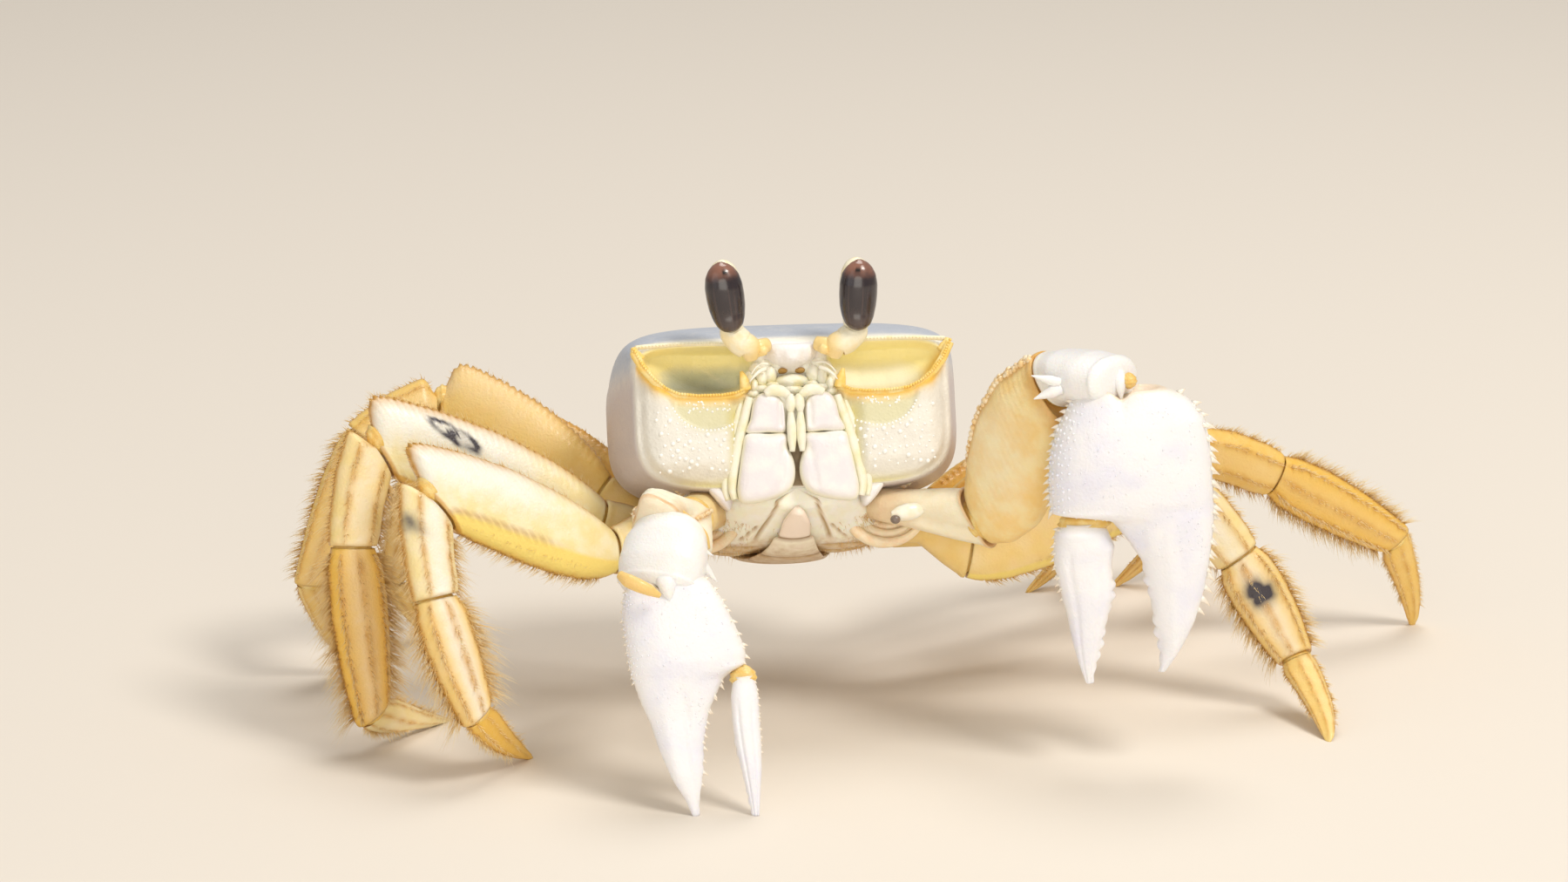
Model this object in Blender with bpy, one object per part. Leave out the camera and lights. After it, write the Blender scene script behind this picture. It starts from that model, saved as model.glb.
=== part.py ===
"""Atlantic ghost crab, life size, standing on its eight walking legs and the tips of its minor claw.

The crab faces -Y with its left side towards +X, on a floor at z = 0.  Design sizes are in millimetres.
The trunk is drawn in its own level frame and tipped nose up; each limb is a chain of hard segments that
starts at the trunk and is aimed by a heading (from straight out sideways, positive towards the face)
and a pitch (above level).
"""

import math

import bmesh
import bpy
from mathutils import Matrix, Vector

MM = 0.001
GAP = 0.3  # clear space between two neighbouring shells
SEAM = 0.4  # the same where a thin plate lies along a curved one
SHARP_ANGLE = 40.0  # degrees; edges steeper than this stay crisp

# Carapace, in the trunk's own frame
TRUNK_PLACE = Vector((-13.1, 3.1, 34.9))  # puts the middle of the footprint at x = y = 0
TRUNK_PITCH = 23.0
CARAPACE_HALF_WIDTH = 22.2
CARAPACE_FRONT_HALF_WIDTH = 19.8
CARAPACE_REAR_HALF_WIDTH = 9.5
CARAPACE_FRONT = -14.0
CARAPACE_REAR = 17.5
CARAPACE_STATIONS = (0.0, 0.03, 0.1, 0.2, 0.32, 0.45, 0.57, 0.68, 0.78, 0.87, 0.94, 1.0)
WIDEST_AT = 0.45  # fraction of the length from the front
CREST_AT = 0.42
CARAPACE_CREST = 12.8
CREST_FALL_FRONT = 3.6
CREST_FALL_REAR = 10.0
CARAPACE_FLOOR = -9.5
FLOOR_RISE_AT = 0.6
FLOOR_RISE = 6.5
CARAPACE_WAIST = 2.0  # level of the widest line
FRONT_SQUARENESS = 9.0
REAR_SQUARENESS = 2.8
FRONT_BEVEL = 0.5
ORBIT_CENTRE = Vector((12.3, -15.0, 5.4))
ORBIT_RADII = Vector((7.2, 5.0, 3.3))

# Breastplate and tail flap
STERNUM_HALF_WIDTH = 15.5
STERNUM_DEPTH = -15.8
STERNUM_STATIONS = (-13.2, -12.0, -9.5, -6.5, -3.0, 2.0, 7.0, 11.0, 13.6, 15.4)
STERNUM_RAMP_FROM = -4.0
STERNUM_RAMP_RISE = 4.0
STERNUM_BOWL_FROM = 2.0
STERNUM_BOWL_RISE = 5.8
TAIL_THICKNESS = 0.9
TAIL_BELLY = (  # depth, half width, from the tip of the flap backwards
    (-13.2, 1.0), (-12.6, 1.6), (-11.0, 1.9), (-8.8, 2.1), (-6.0, 3.0), (-2.0, 4.0), (3.0, 5.2), (8.0, 6.6), (12.0, 7.6),
)
TAIL_REAR = (  # depth, level, half width, up the hind face
    (15.2, -11.9, 8.0), (17.6, -9.6, 8.2), (18.7, -5.4, 8.4), (18.9, -1.6, 7.6),
)

# Face.  Front: level, half width, half depth.  Mouth plate: level, inner edge, outer edge, half depth.
FRONT_ROWS = (
    (2.5, 4.2, 0.6), (3.1, 5.4, 0.9), (4.9, 4.8, 0.9), (5.4, 2.4, 1.4), (6.4, 2.8, 1.6), (7.9, 3.1, 1.4),
    (9.2, 3.3, 0.9),
)
MAXILLIPED_ROWS = (
    (2.1, 1.4, 4.4, 0.5), (1.2, 0.7, 5.1, 0.9), (-1.0, 0.5, 5.4, 1.05), (-3.4, 0.4, 5.9, 1.1),
    (-6.0, 0.4, 6.8, 1.15), (-8.2, 0.6, 6.8, 1.0), (-9.4, 1.5, 5.9, 0.5),
)
MAXILLIPED_DEPTH = 1.15

# Eyes: fraction of length, width and depth in mm, lift of the centre
EYE_STALK_ROOT = Vector((4.6, -15.9, 6.6))
EYE_STALK_LENGTH = 4.6
EYE_STALK_WAY = {"right": Vector((-0.79, 0.0, 0.95)), "left": Vector((0.92, 0.0, 0.93))}
EYE_STALK_ROWS = ((0.0, 2.6, 2.2, 0), (0.3, 3.0, 2.6, 0), (0.7, 2.6, 2.4, 0), (1.0, 2.7, 2.5, 0))
EYE_LENGTH = 9.3
EYE_WAY = {"right": Vector((-0.16, 0.0, 1.0)), "left": Vector((0.03, 0.0, 1.0))}
EYE_ROWS = (
    (0.0, 2.7, 2.5, 0), (0.1, 3.7, 3.3, 0), (0.3, 4.6, 4.2, 0), (0.55, 4.8, 4.3, 0), (0.78, 4.4, 3.9, 0),
    (0.93, 3.0, 2.8, 0), (1.0, 1.2, 1.2, 0),
)

# Limbs: roots on the trunk, then the length of each segment from the trunk outwards
ROOT_STUB = 3.6  # how far the first segment reaches back to the breastplate
LIMB_SQUARENESS = 2.3
LEG_SIDES = 10
CLAW_ARM_SIDES = 12
LEG_STUB_AIM = (0, 0)
CLAW_STUB_AIM = (50, 0)
LEG_ROOTS = {2: (17.0, -5.0, -13.0), 3: (17.5, 1.0, -13.0), 4: (16.0, 6.5, -12.0), 5: (14.0, 11.0, -11.0)}
LEG_LENGTHS = {
    2: (7.5, 27.5, 13.2, 15.0, 13.8),
    3: (7.5, 31.5, 13.5, 21.0, 14.3),
    4: (8.5, 25.0, 11.5, 20.0, 15.5),
    5: (8.0, 19.5, 12.8, 16.5, 10.0),
}
LEG_SCALE = {2: 1.0, 3: 1.0, 4: 0.92, 5: 0.7}  # stoutness against the second and third pairs
LEG_PARTS = ("ischium", "merus", "carpus", "propodus", "dactyl")
# heading and pitch of the first four segments, then the heading of the dactyl, whose tip finds the floor
LEG_POSES = {
    ("right", 2): ((36, -11), (19, 24), (102, -67), (138, -66), -130),
    ("right", 3): ((20, 22), (8, 24), (59, -68), (121, -80), -134),
    ("right", 4): ((-22, 32), (-25, 27), (20, -25), (12, -68), -147),
    ("right", 5): ((-47, 28), (-28, 21), (-16, -33), (-26, -75), -176),
    ("left", 2): ((3, -40), (2, 20), (16, -49), (26, -58), 83),
    ("left", 3): ((-26, -12), (-12, 15), (-10, -22), (-12, -31), -44),
    ("left", 4): ((-31, 3), (-23, 16), (-42, -32), (-56, -35), -173),
    ("left", 5): ((-31, 6), (-32, 12), (-46, -36), (-80, -47), 156),
}
CLAW_ROOT = (11.5, -10.0, -11.5)
MINOR_LENGTHS = (5.7, 14.9, 6.9)
MINOR_POSE = ((68, 5), (75, 9), (66, -46))
MAJOR_LENGTHS = (12.25, 21.85, 9.4)
MAJOR_POSE = ((21.1, -3.7), (40.7, 61.5), (50, 8))

# Cross-section rows.  Legs: fraction of length, height and thickness in mm, lift of the centre in mm.
SEGMENT_ROWS = {
    "ischium": ((0.0, 5.6, 4.6, 0), (0.55, 5.8, 4.6, 0), (1.0, 5.4, 4.2, 0)),
    "merus": (
        (0.0, 5.6, 4.2, 0), (0.08, 7.2, 4.6, 0), (0.22, 9.4, 5.2, 0.2), (0.42, 10.8, 5.4, 0.5),
        (0.62, 10.6, 5.2, 0.6), (0.80, 9.6, 4.8, 0.5), (0.93, 8.0, 4.4, 0.0), (1.0, 4.4, 3.6, -1.2),
    ),
    "carpus": (
        (0.0, 4.4, 3.6, -1.2), (0.16, 6.2, 4.2, -0.1), (0.5, 6.6, 4.8, 0.3), (0.85, 6.4, 4.6, 0.1),
        (1.0, 5.6, 4.2, 0),
    ),
    "propodus": (
        (0.0, 5.6, 4.0, 0), (0.12, 6.8, 4.4, 0), (0.35, 7.2, 4.4, 0.1), (0.62, 6.6, 4.0, 0.1),
        (0.88, 5.4, 3.5, 0), (1.0, 4.4, 3.1, 0),
    ),
    "dactyl": (
        (0.0, 4.0, 2.9, 0), (0.12, 4.3, 2.9, 0.1), (0.32, 3.9, 2.6, 0.4), (0.55, 3.2, 2.2, 0.6),
        (0.75, 2.4, 1.8, 0.5), (0.9, 1.5, 1.3, 0.3), (1.0, 0.8, 0.8, 0),
    ),
}
CLAW_ARM_ROWS = {
    ("minor", "ischium"): ((0.0, 5.4, 5.0, 0), (0.6, 5.2, 5.0, 0), (1.0, 5.0, 4.8, 0)),
    ("minor", "merus"): ((0.0, 4.8, 4.8, 0), (0.3, 6.4, 7.0, 0.2), (0.7, 9.0, 9.5, 0.4), (1.0, 8.4, 9.4, 0)),
    ("minor", "carpus"): (
        (0.0, 7.4, 8.8, 0), (0.3, 8.0, 10.4, 0.4), (0.7, 7.8, 10.6, 0.4), (1.0, 6.4, 9.6, 0),
    ),
    ("major", "ischium"): ((0.0, 6.4, 5.4, 0), (0.6, 6.8, 5.8, 0), (1.0, 7.0, 6.0, 0)),
    ("major", "merus"): (
        (0.0, 6.6, 5.6, 0.2), (0.14, 10.2, 7.0, -0.1), (0.37, 13.4, 7.6, -0.2), (0.67, 13.2, 7.8, -0.3),
        (1.0, 8.6, 7.2, -0.6),
    ),
    ("major", "carpus"): (
        (0.0, 6.6, 7.2, 0.3), (0.3, 6.4, 9.2, 0.8), (0.7, 6.2, 9.8, 0.8), (1.0, 5.2, 8.4, 0.6),
    ),
}
# Hands and fingers: distance along, inner edge, outer edge, thickness, all in mm.
HAND_SQUARENESS = 2.4
HAND_SIDES = 14
FINGER_SIDES = 12
WRIST_CLEARANCE = 0.7
MINOR_HAND_LENGTH = 27.3
MINOR_HAND_AIM = (114, -78)
MINOR_HAND_ROWS = (
    (0.0, -2.8, 5.7, 4.4), (1.5, -4.2, 7.2, 5.6), (4.0, -4.8, 8.2, 6.4), (7.0, -4.9, 8.8, 6.6),
    (9.5, -4.9, 9.0, 6.2), (11.0, -4.7, 6.5, 5.4), (13.0, -4.3, 5.1, 4.6), (15.5, -3.6, 3.3, 3.8),
    (19.0, -3.0, 2.2, 3.2), (22.5, -2.1, 1.6, 2.6), (25.3, -0.9, 0.8, 1.7), (27.3, -0.4, 0.4, 0.9),
)
MINOR_FINGER_START = (11.6, 8.5)  # along and across the hand
MINOR_FINGER_LEAN = -4.0
MINOR_FINGER_ROWS = (
    (0.0, -1.1, 1.2, 3.0), (2.4, -1.7, 1.5, 3.4), (5.5, -1.8, 1.5, 3.2), (8.6, -1.6, 1.4, 2.8),
    (11.6, -1.2, 1.2, 2.3), (14.3, -0.8, 0.8, 1.6), (17.2, -0.4, 0.4, 0.9),
)
MAJOR_HAND_AIM = (58, -84)
MAJOR_HAND_ROWS = (
    (0.0, -3.7, 5.5, 5.0), (2.1, -5.7, 9.0, 7.4), (4.2, -7.2, 10.5, 8.4), (7.4, -8.1, 11.0, 8.8),
    (10.5, -8.6, 11.1, 8.8), (13.7, -8.5, 11.1, 8.2), (15.3, -8.2, 11.1, 7.4), (15.7, -1.6, 11.1, 7.0),
    (18.8, 0.4, 10.9, 6.2), (21.5, 2.3, 10.4, 5.6), (25.3, 2.9, 9.6, 4.6), (29.5, 3.2, 8.0, 3.6),
    (32.2, 3.9, 6.6, 2.6), (34.2, 3.9, 5.4, 1.7), (35.5, 3.8, 4.5, 0.9),
)
MAJOR_FINGER_START = (16.1, -4.6)
MAJOR_FINGER_LEAN = -1.0
MAJOR_FINGER_ROWS = (
    (0.0, -3.2, 2.5, 5.0), (1.2, -3.6, 3.0, 5.4), (3.2, -3.8, 3.6, 5.2), (5.3, -3.8, 3.1, 4.8),
    (9.5, -3.0, 3.1, 4.2), (11.8, -2.5, 2.4, 3.6), (14.8, -2.0, 1.5, 2.8), (17.8, -1.2, 0.8, 1.8),
    (20.3, -0.4, 0.4, 0.9),
)
HAND_ACROSS = Vector((0.993, -0.122, 0.0))  # direction across both hands, inner to outer edge

COLOURS = {
    "back": (0.80, 0.80, 0.78),
    "underside": (0.86, 0.80, 0.66),
    "mouth": (0.88, 0.85, 0.86),
    "stalk": (0.90, 0.70, 0.36),
    "eye": (0.04, 0.025, 0.025),
    "claw": (0.93, 0.93, 0.95),
    "arm": (0.86, 0.62, 0.30),
    "leg": (0.88, 0.68, 0.36),
}
FINISH = {"eye": 0.12, "claw": 0.42}
PLAIN_ROUGHNESS = 0.5


def clear_scene():
    for old in list(bpy.data.objects):
        bpy.data.objects.remove(old, do_unlink=True)


def material(name):
    found = bpy.data.materials.get(name)
    if found:
        return found
    made = bpy.data.materials.new(name)
    made.use_nodes = True
    shader = made.node_tree.nodes["Principled BSDF"]
    shader.inputs["Base Color"].default_value = (*COLOURS[name], 1.0)
    shader.inputs["Roughness"].default_value = FINISH.get(name, PLAIN_ROUGHNESS)
    shader.inputs["Metallic"].default_value = 0.0
    return made


def aim(side, heading, pitch):
    """Unit direction from a heading off straight sideways and a pitch off level."""
    h = math.radians(heading)
    p = math.radians(pitch)
    out = 1.0 if side == "left" else -1.0
    return Vector((out * math.cos(h) * math.cos(p), -math.sin(h) * math.cos(p), math.sin(p)))


def oval(half_width, half_height, sides, power=2.0, power_low=None):
    """Points of a superellipse, counter-clockwise from +X; power_low shapes its lower half."""
    points = []
    for i in range(sides):
        angle = 2 * math.pi * (i + 0.5) / sides
        c = math.cos(angle)
        s = math.sin(angle)
        n = power if s > 0 or power_low is None else power_low
        points.append((
            half_width * math.copysign(abs(c) ** (2 / n), c),
            half_height * math.copysign(abs(s) ** (2 / n), s),
        ))
    return points


def loft(name, rings, finish, parent=None, frame=None):
    """Closed shell through rings of points (mm), with its origin and axes at the given frame."""
    frame = frame or Matrix.Identity(4)
    back = frame.inverted()
    mesh = bpy.data.meshes.new(name)
    shell = bmesh.new()
    rows = [[shell.verts.new(back @ (p * MM)) for p in ring] for ring in rings]
    count = len(rows[0])
    for low, high in zip(rows, rows[1:]):
        for i in range(count):
            j = (i + 1) % count
            shell.faces.new((low[i], low[j], high[j], high[i]))
    shell.faces.new(tuple(reversed(rows[0])))
    shell.faces.new(tuple(rows[-1]))
    bmesh.ops.recalc_face_normals(shell, faces=shell.faces[:])
    shell.to_mesh(mesh)
    shell.free()
    mesh.shade_smooth()
    mesh.set_sharp_from_angle(angle=math.radians(SHARP_ANGLE))
    made = bpy.data.objects.new(name, mesh)
    bpy.context.collection.objects.link(made)
    made.data.materials.append(material(finish))
    made.parent = parent
    made.matrix_local = frame
    return made


def frame_at(point, along, broad):
    """Placing matrix whose X runs along the segment and whose Y is its broad direction."""
    across = along.cross(broad).normalized()
    return Matrix((
        (along.x, broad.x, across.x, point.x * MM),
        (along.y, broad.y, across.y, point.y * MM),
        (along.z, broad.z, across.z, point.z * MM),
        (0, 0, 0, 1),
    ))


def square_to(direction, along):
    return (direction - along * direction.dot(along)).normalized()


def segment(name, start, end, before, after, broad, rows, sides, finish, on_floor=False, stub=0.0):
    """Hard segment with mitred ends, so that it meets the ones before and after it face to face.

    A stub carries the first ring back into the trunk, as the short joint at the root of a limb does.
    One that stands on the floor ends in a small level flat.
    """
    along = (end - start).normalized()
    length = (end - start).length
    broad = square_to(broad, along)
    thick = along.cross(broad)
    start_plane = ((before or along) + along).normalized()
    end_plane = Vector((0, 0, -1)) if on_floor else ((after or along) + along).normalized()
    start_gap = GAP / 2 if before and not stub else 0.0
    end_gap = GAP / 2 if after else 0.0
    rings = []
    for fraction, height, thickness, lift in rows:
        ring = []
        for a, b in oval(height / 2, thickness / 2, sides, LIMB_SQUARENESS):
            offset = broad * (a + lift) + thick * b
            first = (start_gap - offset.dot(start_plane)) / along.dot(start_plane)
            last = length - (end_gap + offset.dot(end_plane)) / along.dot(end_plane)
            point = start + offset + along * (first + (last - first) * fraction)
            if on_floor:
                point.z = max(point.z, 0.0)
            ring.append(point)
        rings.append(ring)
    if stub:
        rings.insert(0, [point - before * stub for point in rings[0]])
    return loft(name, rings, finish, frame=frame_at(start, along, broad))


def trunk_ring(y, half_width, top, bottom, waist, power, power_low, sides):
    """Upright ring of the trunk at depth y."""
    ring = []
    for a, b in oval(1.0, 1.0, sides, power, power_low):
        height = (top - waist) if b > 0 else (waist - bottom)
        ring.append(Vector((a * half_width, y, waist + b * height)))
    return ring


def along_carapace(y):
    """Fraction of the carapace's length at depth y."""
    return (y - CARAPACE_FRONT) / (CARAPACE_REAR - CARAPACE_FRONT)


def carapace_bottom(u):
    return CARAPACE_FLOOR + FLOOR_RISE * max(0.0, (u - FLOOR_RISE_AT) / (1 - FLOOR_RISE_AT)) ** 1.5


def carapace_top(u):
    if u < CREST_AT:
        return CARAPACE_CREST - CREST_FALL_FRONT * (1 - u / CREST_AT) ** 2
    return CARAPACE_CREST - CREST_FALL_REAR * ((u - CREST_AT) / (1 - CREST_AT)) ** 2.3


def carapace_half_width(u):
    if u < WIDEST_AT:
        blend = math.sin(0.5 * math.pi * u / WIDEST_AT)
        return CARAPACE_FRONT_HALF_WIDTH + (CARAPACE_HALF_WIDTH - CARAPACE_FRONT_HALF_WIDTH) * blend
    blend = ((u - WIDEST_AT) / (1 - WIDEST_AT)) ** 2
    return CARAPACE_HALF_WIDTH + (CARAPACE_REAR_HALF_WIDTH - CARAPACE_HALF_WIDTH) * blend


def carapace_rings(grow):
    """Rings of the carapace from its front wall to its hind margin, swollen by grow."""
    rings = []
    for i, u in enumerate(CARAPACE_STATIONS):
        bevel = FRONT_BEVEL if i == 0 else 0.0
        y = CARAPACE_FRONT + (CARAPACE_REAR - CARAPACE_FRONT) * u
        width = carapace_half_width(u) - bevel
        top = carapace_top(u) - bevel
        bottom = carapace_bottom(u) + bevel
        waist = min(CARAPACE_WAIST, (top + bottom) / 2 + 1.0)
        square = FRONT_SQUARENESS + (REAR_SQUARENESS - FRONT_SQUARENESS) * min(1.0, u / CREST_AT) ** 0.8
        if i == 0:
            y -= grow
        if i == len(CARAPACE_STATIONS) - 1:
            y += grow
        rings.append(trunk_ring(y, width + grow, top + grow, bottom - grow, waist, square, 4.5, 28))
    return rings


def sternum_floor(y):
    """Lowest level of the breastplate at depth y: a ramp up to the mouth in front, a bowl behind."""
    if y < STERNUM_RAMP_FROM:
        ahead = (STERNUM_RAMP_FROM - y) / (STERNUM_RAMP_FROM - STERNUM_STATIONS[0])
        return STERNUM_DEPTH + STERNUM_RAMP_RISE * ahead ** 1.3
    behind = (y - STERNUM_BOWL_FROM) / (STERNUM_STATIONS[-1] - STERNUM_BOWL_FROM)
    return STERNUM_DEPTH + STERNUM_BOWL_RISE * max(0.0, behind) ** 2


def sternum_rings(grow):
    """Rings of the breastplate under the carapace, swollen by grow."""
    rings = []
    first = STERNUM_STATIONS[0]
    last = STERNUM_STATIONS[-1]
    for y in STERNUM_STATIONS:
        front = max(0.0, (-2.0 - y) / (-2.0 - first))
        rear = max(0.0, (y - 2.0) / (last - 2.0))
        width = STERNUM_HALF_WIDTH * (1 - 0.58 * front ** 1.8) * (1 - 0.42 * rear ** 1.8)
        top = carapace_bottom(along_carapace(y)) - SEAM
        bottom = min(sternum_floor(y), top - 0.7)
        waist = top - 0.35 * (top - bottom)
        if y == first:
            y -= grow
        if y == last:
            y += grow
        rings.append(trunk_ring(y, width + grow, top + grow, bottom - grow, waist, 4.5, 2.6, 20))
    return rings


def cutter(name, rings, parent):
    made = loft(name, rings, "back", parent)
    made.hide_render = True
    made.display_type = "WIRE"
    return made


def cut(body, tool, label):
    step = body.modifiers.new(label, "BOOLEAN")
    step.operation = "DIFFERENCE"
    step.object = tool
    step.solver = "EXACT"


def orbit_tool(side, trunk):
    """Ellipsoid that hollows an eye socket out of the front wall."""
    sign = 1 if side == "left" else -1
    rings = []
    for i in range(1, 8):
        turn = math.pi * i / 8
        y = ORBIT_CENTRE.y - ORBIT_RADII.y * math.cos(turn)
        swell = math.sin(turn)
        ring = [
            Vector((sign * ORBIT_CENTRE.x + a, y, ORBIT_CENTRE.z + b))
            for a, b in oval(ORBIT_RADII.x * swell, ORBIT_RADII.z * swell, 16, 2.4)
        ]
        rings.append(ring)
    return cutter(f"orbit_tool_{side}", rings, trunk)


def build_carapace(trunk):
    shell = loft("carapace", carapace_rings(0.0), "back", trunk)
    for side in ("right", "left"):
        cut(shell, orbit_tool(side, trunk), f"orbit_{side}")


def build_front(trunk):
    """Mouth frame with the feelers, and above it the down-turned lobe between the eyes."""
    rings = []
    for z, width, depth in FRONT_ROWS:
        y = CARAPACE_FRONT - GAP - depth
        rings.append([Vector((a, y + b, z)) for a, b in oval(width, depth, 14, 2.6)])
    loft("front", rings, "back", trunk)


def build_maxilliped(side, trunk):
    """Outer mouth plate, one of the pair that shuts over the mouth like doors."""
    sign = 1 if side == "left" else -1
    y = CARAPACE_FRONT - GAP - MAXILLIPED_DEPTH
    rings = []
    for z, inner, outer, depth in MAXILLIPED_ROWS:
        middle = sign * (inner + outer) / 2
        rings.append([Vector((middle + a, y + b, z)) for a, b in oval((outer - inner) / 2, depth, 12, 2.6)])
    loft(f"maxilliped_{side}", rings, "mouth", trunk)


def build_sternum(trunk):
    loft("sternum", sternum_rings(0.0), "underside", trunk)


def build_abdomen(trunk):
    """Narrow tail flap folded forward under the breastplate and up behind the carapace."""
    path = [Vector((0, y, sternum_floor(y) - SEAM - TAIL_THICKNESS / 2)) for y, width in TAIL_BELLY]
    path += [Vector((0, y, z)) for y, z, width in TAIL_REAR]
    widths = [row[-1] for row in TAIL_BELLY + TAIL_REAR]
    rings = []
    for i, (point, width) in enumerate(zip(path, widths)):
        ahead = path[min(i + 1, len(path) - 1)] - path[max(i - 1, 0)]
        up = Vector((1, 0, 0)).cross(ahead.normalized())
        outline = oval(width, TAIL_THICKNESS / 2, 10, 3.0)
        rings.append([point + Vector((a, 0, 0)) + up * b for a, b in outline])
    loft("abdomen", rings, "underside", trunk)


def trunk_frame():
    """Placing matrix of the trunk: raised to its height and tipped nose up."""
    raised = Matrix.Translation(TRUNK_PLACE * MM)
    return raised @ Matrix.Rotation(math.radians(-TRUNK_PITCH), 4, "X")


def trunk_to_world(point):
    return trunk_frame() @ (Vector(point) * MM) / MM


def build_eye(side):
    """Stalk and upright eye; both rise plumb although the trunk is tipped."""
    sign = 1 if side == "left" else -1
    root = trunk_to_world((sign * EYE_STALK_ROOT.x, EYE_STALK_ROOT.y, EYE_STALK_ROOT.z))
    stalk_way = EYE_STALK_WAY[side].normalized()
    eye_way = EYE_WAY[side].normalized()
    knee = root + stalk_way * EYE_STALK_LENGTH
    facing = Vector((1, 0, 0))
    segment(f"eyestalk_{side}", root, knee, None, eye_way, facing, EYE_STALK_ROWS, 10, "stalk")
    tip = knee + eye_way * EYE_LENGTH
    segment(f"eye_{side}", knee, tip, stalk_way, None, facing, EYE_ROWS, 12, "eye")


def build_leg(side, pair, tools):
    """Walking leg of five segments, standing on the flat tip of the last."""
    x, y, z = LEG_ROOTS[pair]
    start = trunk_to_world((x if side == "left" else -x, y, z))
    pose = LEG_POSES[side, pair]
    ways = [aim(side, heading, pitch) for heading, pitch in pose[:4]]
    points = [start]
    for way, length in zip(ways, LEG_LENGTHS[pair]):
        points.append(points[-1] + way * length)
    reach = LEG_LENGTHS[pair][-1]
    drop = math.degrees(math.asin(points[-1].z / reach))
    ways.append(aim(side, pose[4], -drop))
    points.append(points[-1] + ways[4] * reach)
    bend = ways[1].cross(ways[2] + ways[3]).normalized()
    size = LEG_SCALE[pair]
    for i, part in enumerate(LEG_PARTS):
        rows = [(f, h * size, t * size, lift * size) for f, h, t, lift in SEGMENT_ROWS[part]]
        before = ways[i - 1] if i else aim(side, *LEG_STUB_AIM)
        after = ways[i + 1] if i < 4 else None
        broad = ways[i].cross(bend)
        made = segment(
            f"leg{pair}_{part}_{side}", points[i], points[i + 1], before, after, broad, rows, LEG_SIDES,
            "leg", part == "dactyl", 0.0 if i else ROOT_STUB)
        if part == "ischium":
            for tool in tools:
                cut(made, tool, "clear_" + tool.name)


def flat_rings(start, along, stretch, rows, sides, on_floor, grow=0.0):
    """Rings of a hand or finger whose two edges are given row by row, swollen by grow."""
    across = square_to(HAND_ACROSS, along)
    thick = along.cross(across)
    rings = []
    for distance, inner, outer, thickness in rows:
        middle = start + along * (distance * stretch) + across * ((inner + outer) / 2)
        outline = oval((outer - inner) / 2 + grow, thickness / 2 + grow, sides, HAND_SQUARENESS)
        rings.append([middle + across * a + thick * b for a, b in outline])
    rings[0] = [point - along * grow for point in rings[0]]
    if on_floor:
        rings[-1] = [point - along * (point.z / along.z) for point in rings[-1]]
    return rings


def flat_piece(name, start, along, stretch, rows, sides, on_floor):
    """Hand or finger of a claw, a flattened white shell."""
    rings = flat_rings(start, along, stretch, rows, sides, on_floor)
    frame = frame_at(start, along, square_to(HAND_ACROSS, along))
    return loft(name, rings, "claw", frame=frame)


def build_claw(side, kind, tools):
    """Arm, hand and movable finger; the minor claw props its finger tips on the floor."""
    x, y, z = CLAW_ROOT
    start = trunk_to_world((x if side == "left" else -x, y, z))
    lengths, pose = (MINOR_LENGTHS, MINOR_POSE) if kind == "minor" else (MAJOR_LENGTHS, MAJOR_POSE)
    ways = [aim(side, heading, pitch) for heading, pitch in pose]
    points = [start]
    for way, length in zip(ways, lengths):
        points.append(points[-1] + way * length)
    for i, part in enumerate(("ischium", "merus", "carpus")):
        broad = Vector((0, 0, 1))
        before = ways[i - 1] if i else aim(side, *CLAW_STUB_AIM)
        after = ways[i + 1] if i < 2 else None
        finish = "claw" if part == "carpus" else "arm"
        rows = CLAW_ARM_ROWS[kind, part]
        made = segment(
            f"{kind}_claw_{part}", points[i], points[i + 1], before, after, broad, rows, CLAW_ARM_SIDES,
            finish, stub=0.0 if i else ROOT_STUB)
        if part == "ischium":
            for tool in tools:
                cut(made, tool, "clear_" + tool.name)
    minor = kind == "minor"
    heading, pitch = MINOR_HAND_AIM if minor else MAJOR_HAND_AIM
    if minor:
        pitch = -math.degrees(math.asin(points[-1].z / MINOR_HAND_LENGTH))
    along = aim(side, heading, pitch)
    wrist = points[-1] + along * WRIST_CLEARANCE
    across = square_to(HAND_ACROSS, along)
    hand_rows = MINOR_HAND_ROWS if minor else MAJOR_HAND_ROWS
    stretch = wrist.z / -along.z / MINOR_HAND_LENGTH if minor else 1.0
    flat_piece(f"{kind}_claw_hand", wrist, along, stretch, hand_rows, HAND_SIDES, minor)
    cleared = flat_rings(wrist, along, stretch, hand_rows, HAND_SIDES, minor, GAP)
    tool = cutter(f"{kind}_hand_tool", cleared, None)
    cut(made, tool, "clear_hand")
    down, over = MINOR_FINGER_START if minor else MAJOR_FINGER_START
    hinge = wrist + along * down + across * over
    lean = math.radians(MINOR_FINGER_LEAN if minor else MAJOR_FINGER_LEAN)
    finger_way = (along * math.cos(lean) + across * math.sin(lean)).normalized()
    rows = MINOR_FINGER_ROWS if minor else MAJOR_FINGER_ROWS
    stretch = hinge.z / -finger_way.z / rows[-1][0] if minor else 1.0
    flat_piece(f"{kind}_claw_finger", hinge, finger_way, stretch, rows, FINGER_SIDES, minor)


def build_crab():
    clear_scene()
    trunk = bpy.data.objects.new("trunk_frame", None)
    bpy.context.collection.objects.link(trunk)
    trunk.matrix_local = trunk_frame()
    build_carapace(trunk)
    build_front(trunk)
    build_sternum(trunk)
    build_abdomen(trunk)
    tools = (
        cutter("carapace_tool", carapace_rings(GAP), trunk),
        cutter("sternum_tool", sternum_rings(GAP), trunk),
    )
    for side in ("right", "left"):
        build_maxilliped(side, trunk)
        build_eye(side)
        for pair in LEG_ROOTS:
            build_leg(side, pair, tools)
    build_claw("right", "minor", tools)
    build_claw("left", "major", tools)


build_crab()
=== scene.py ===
import math

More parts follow.
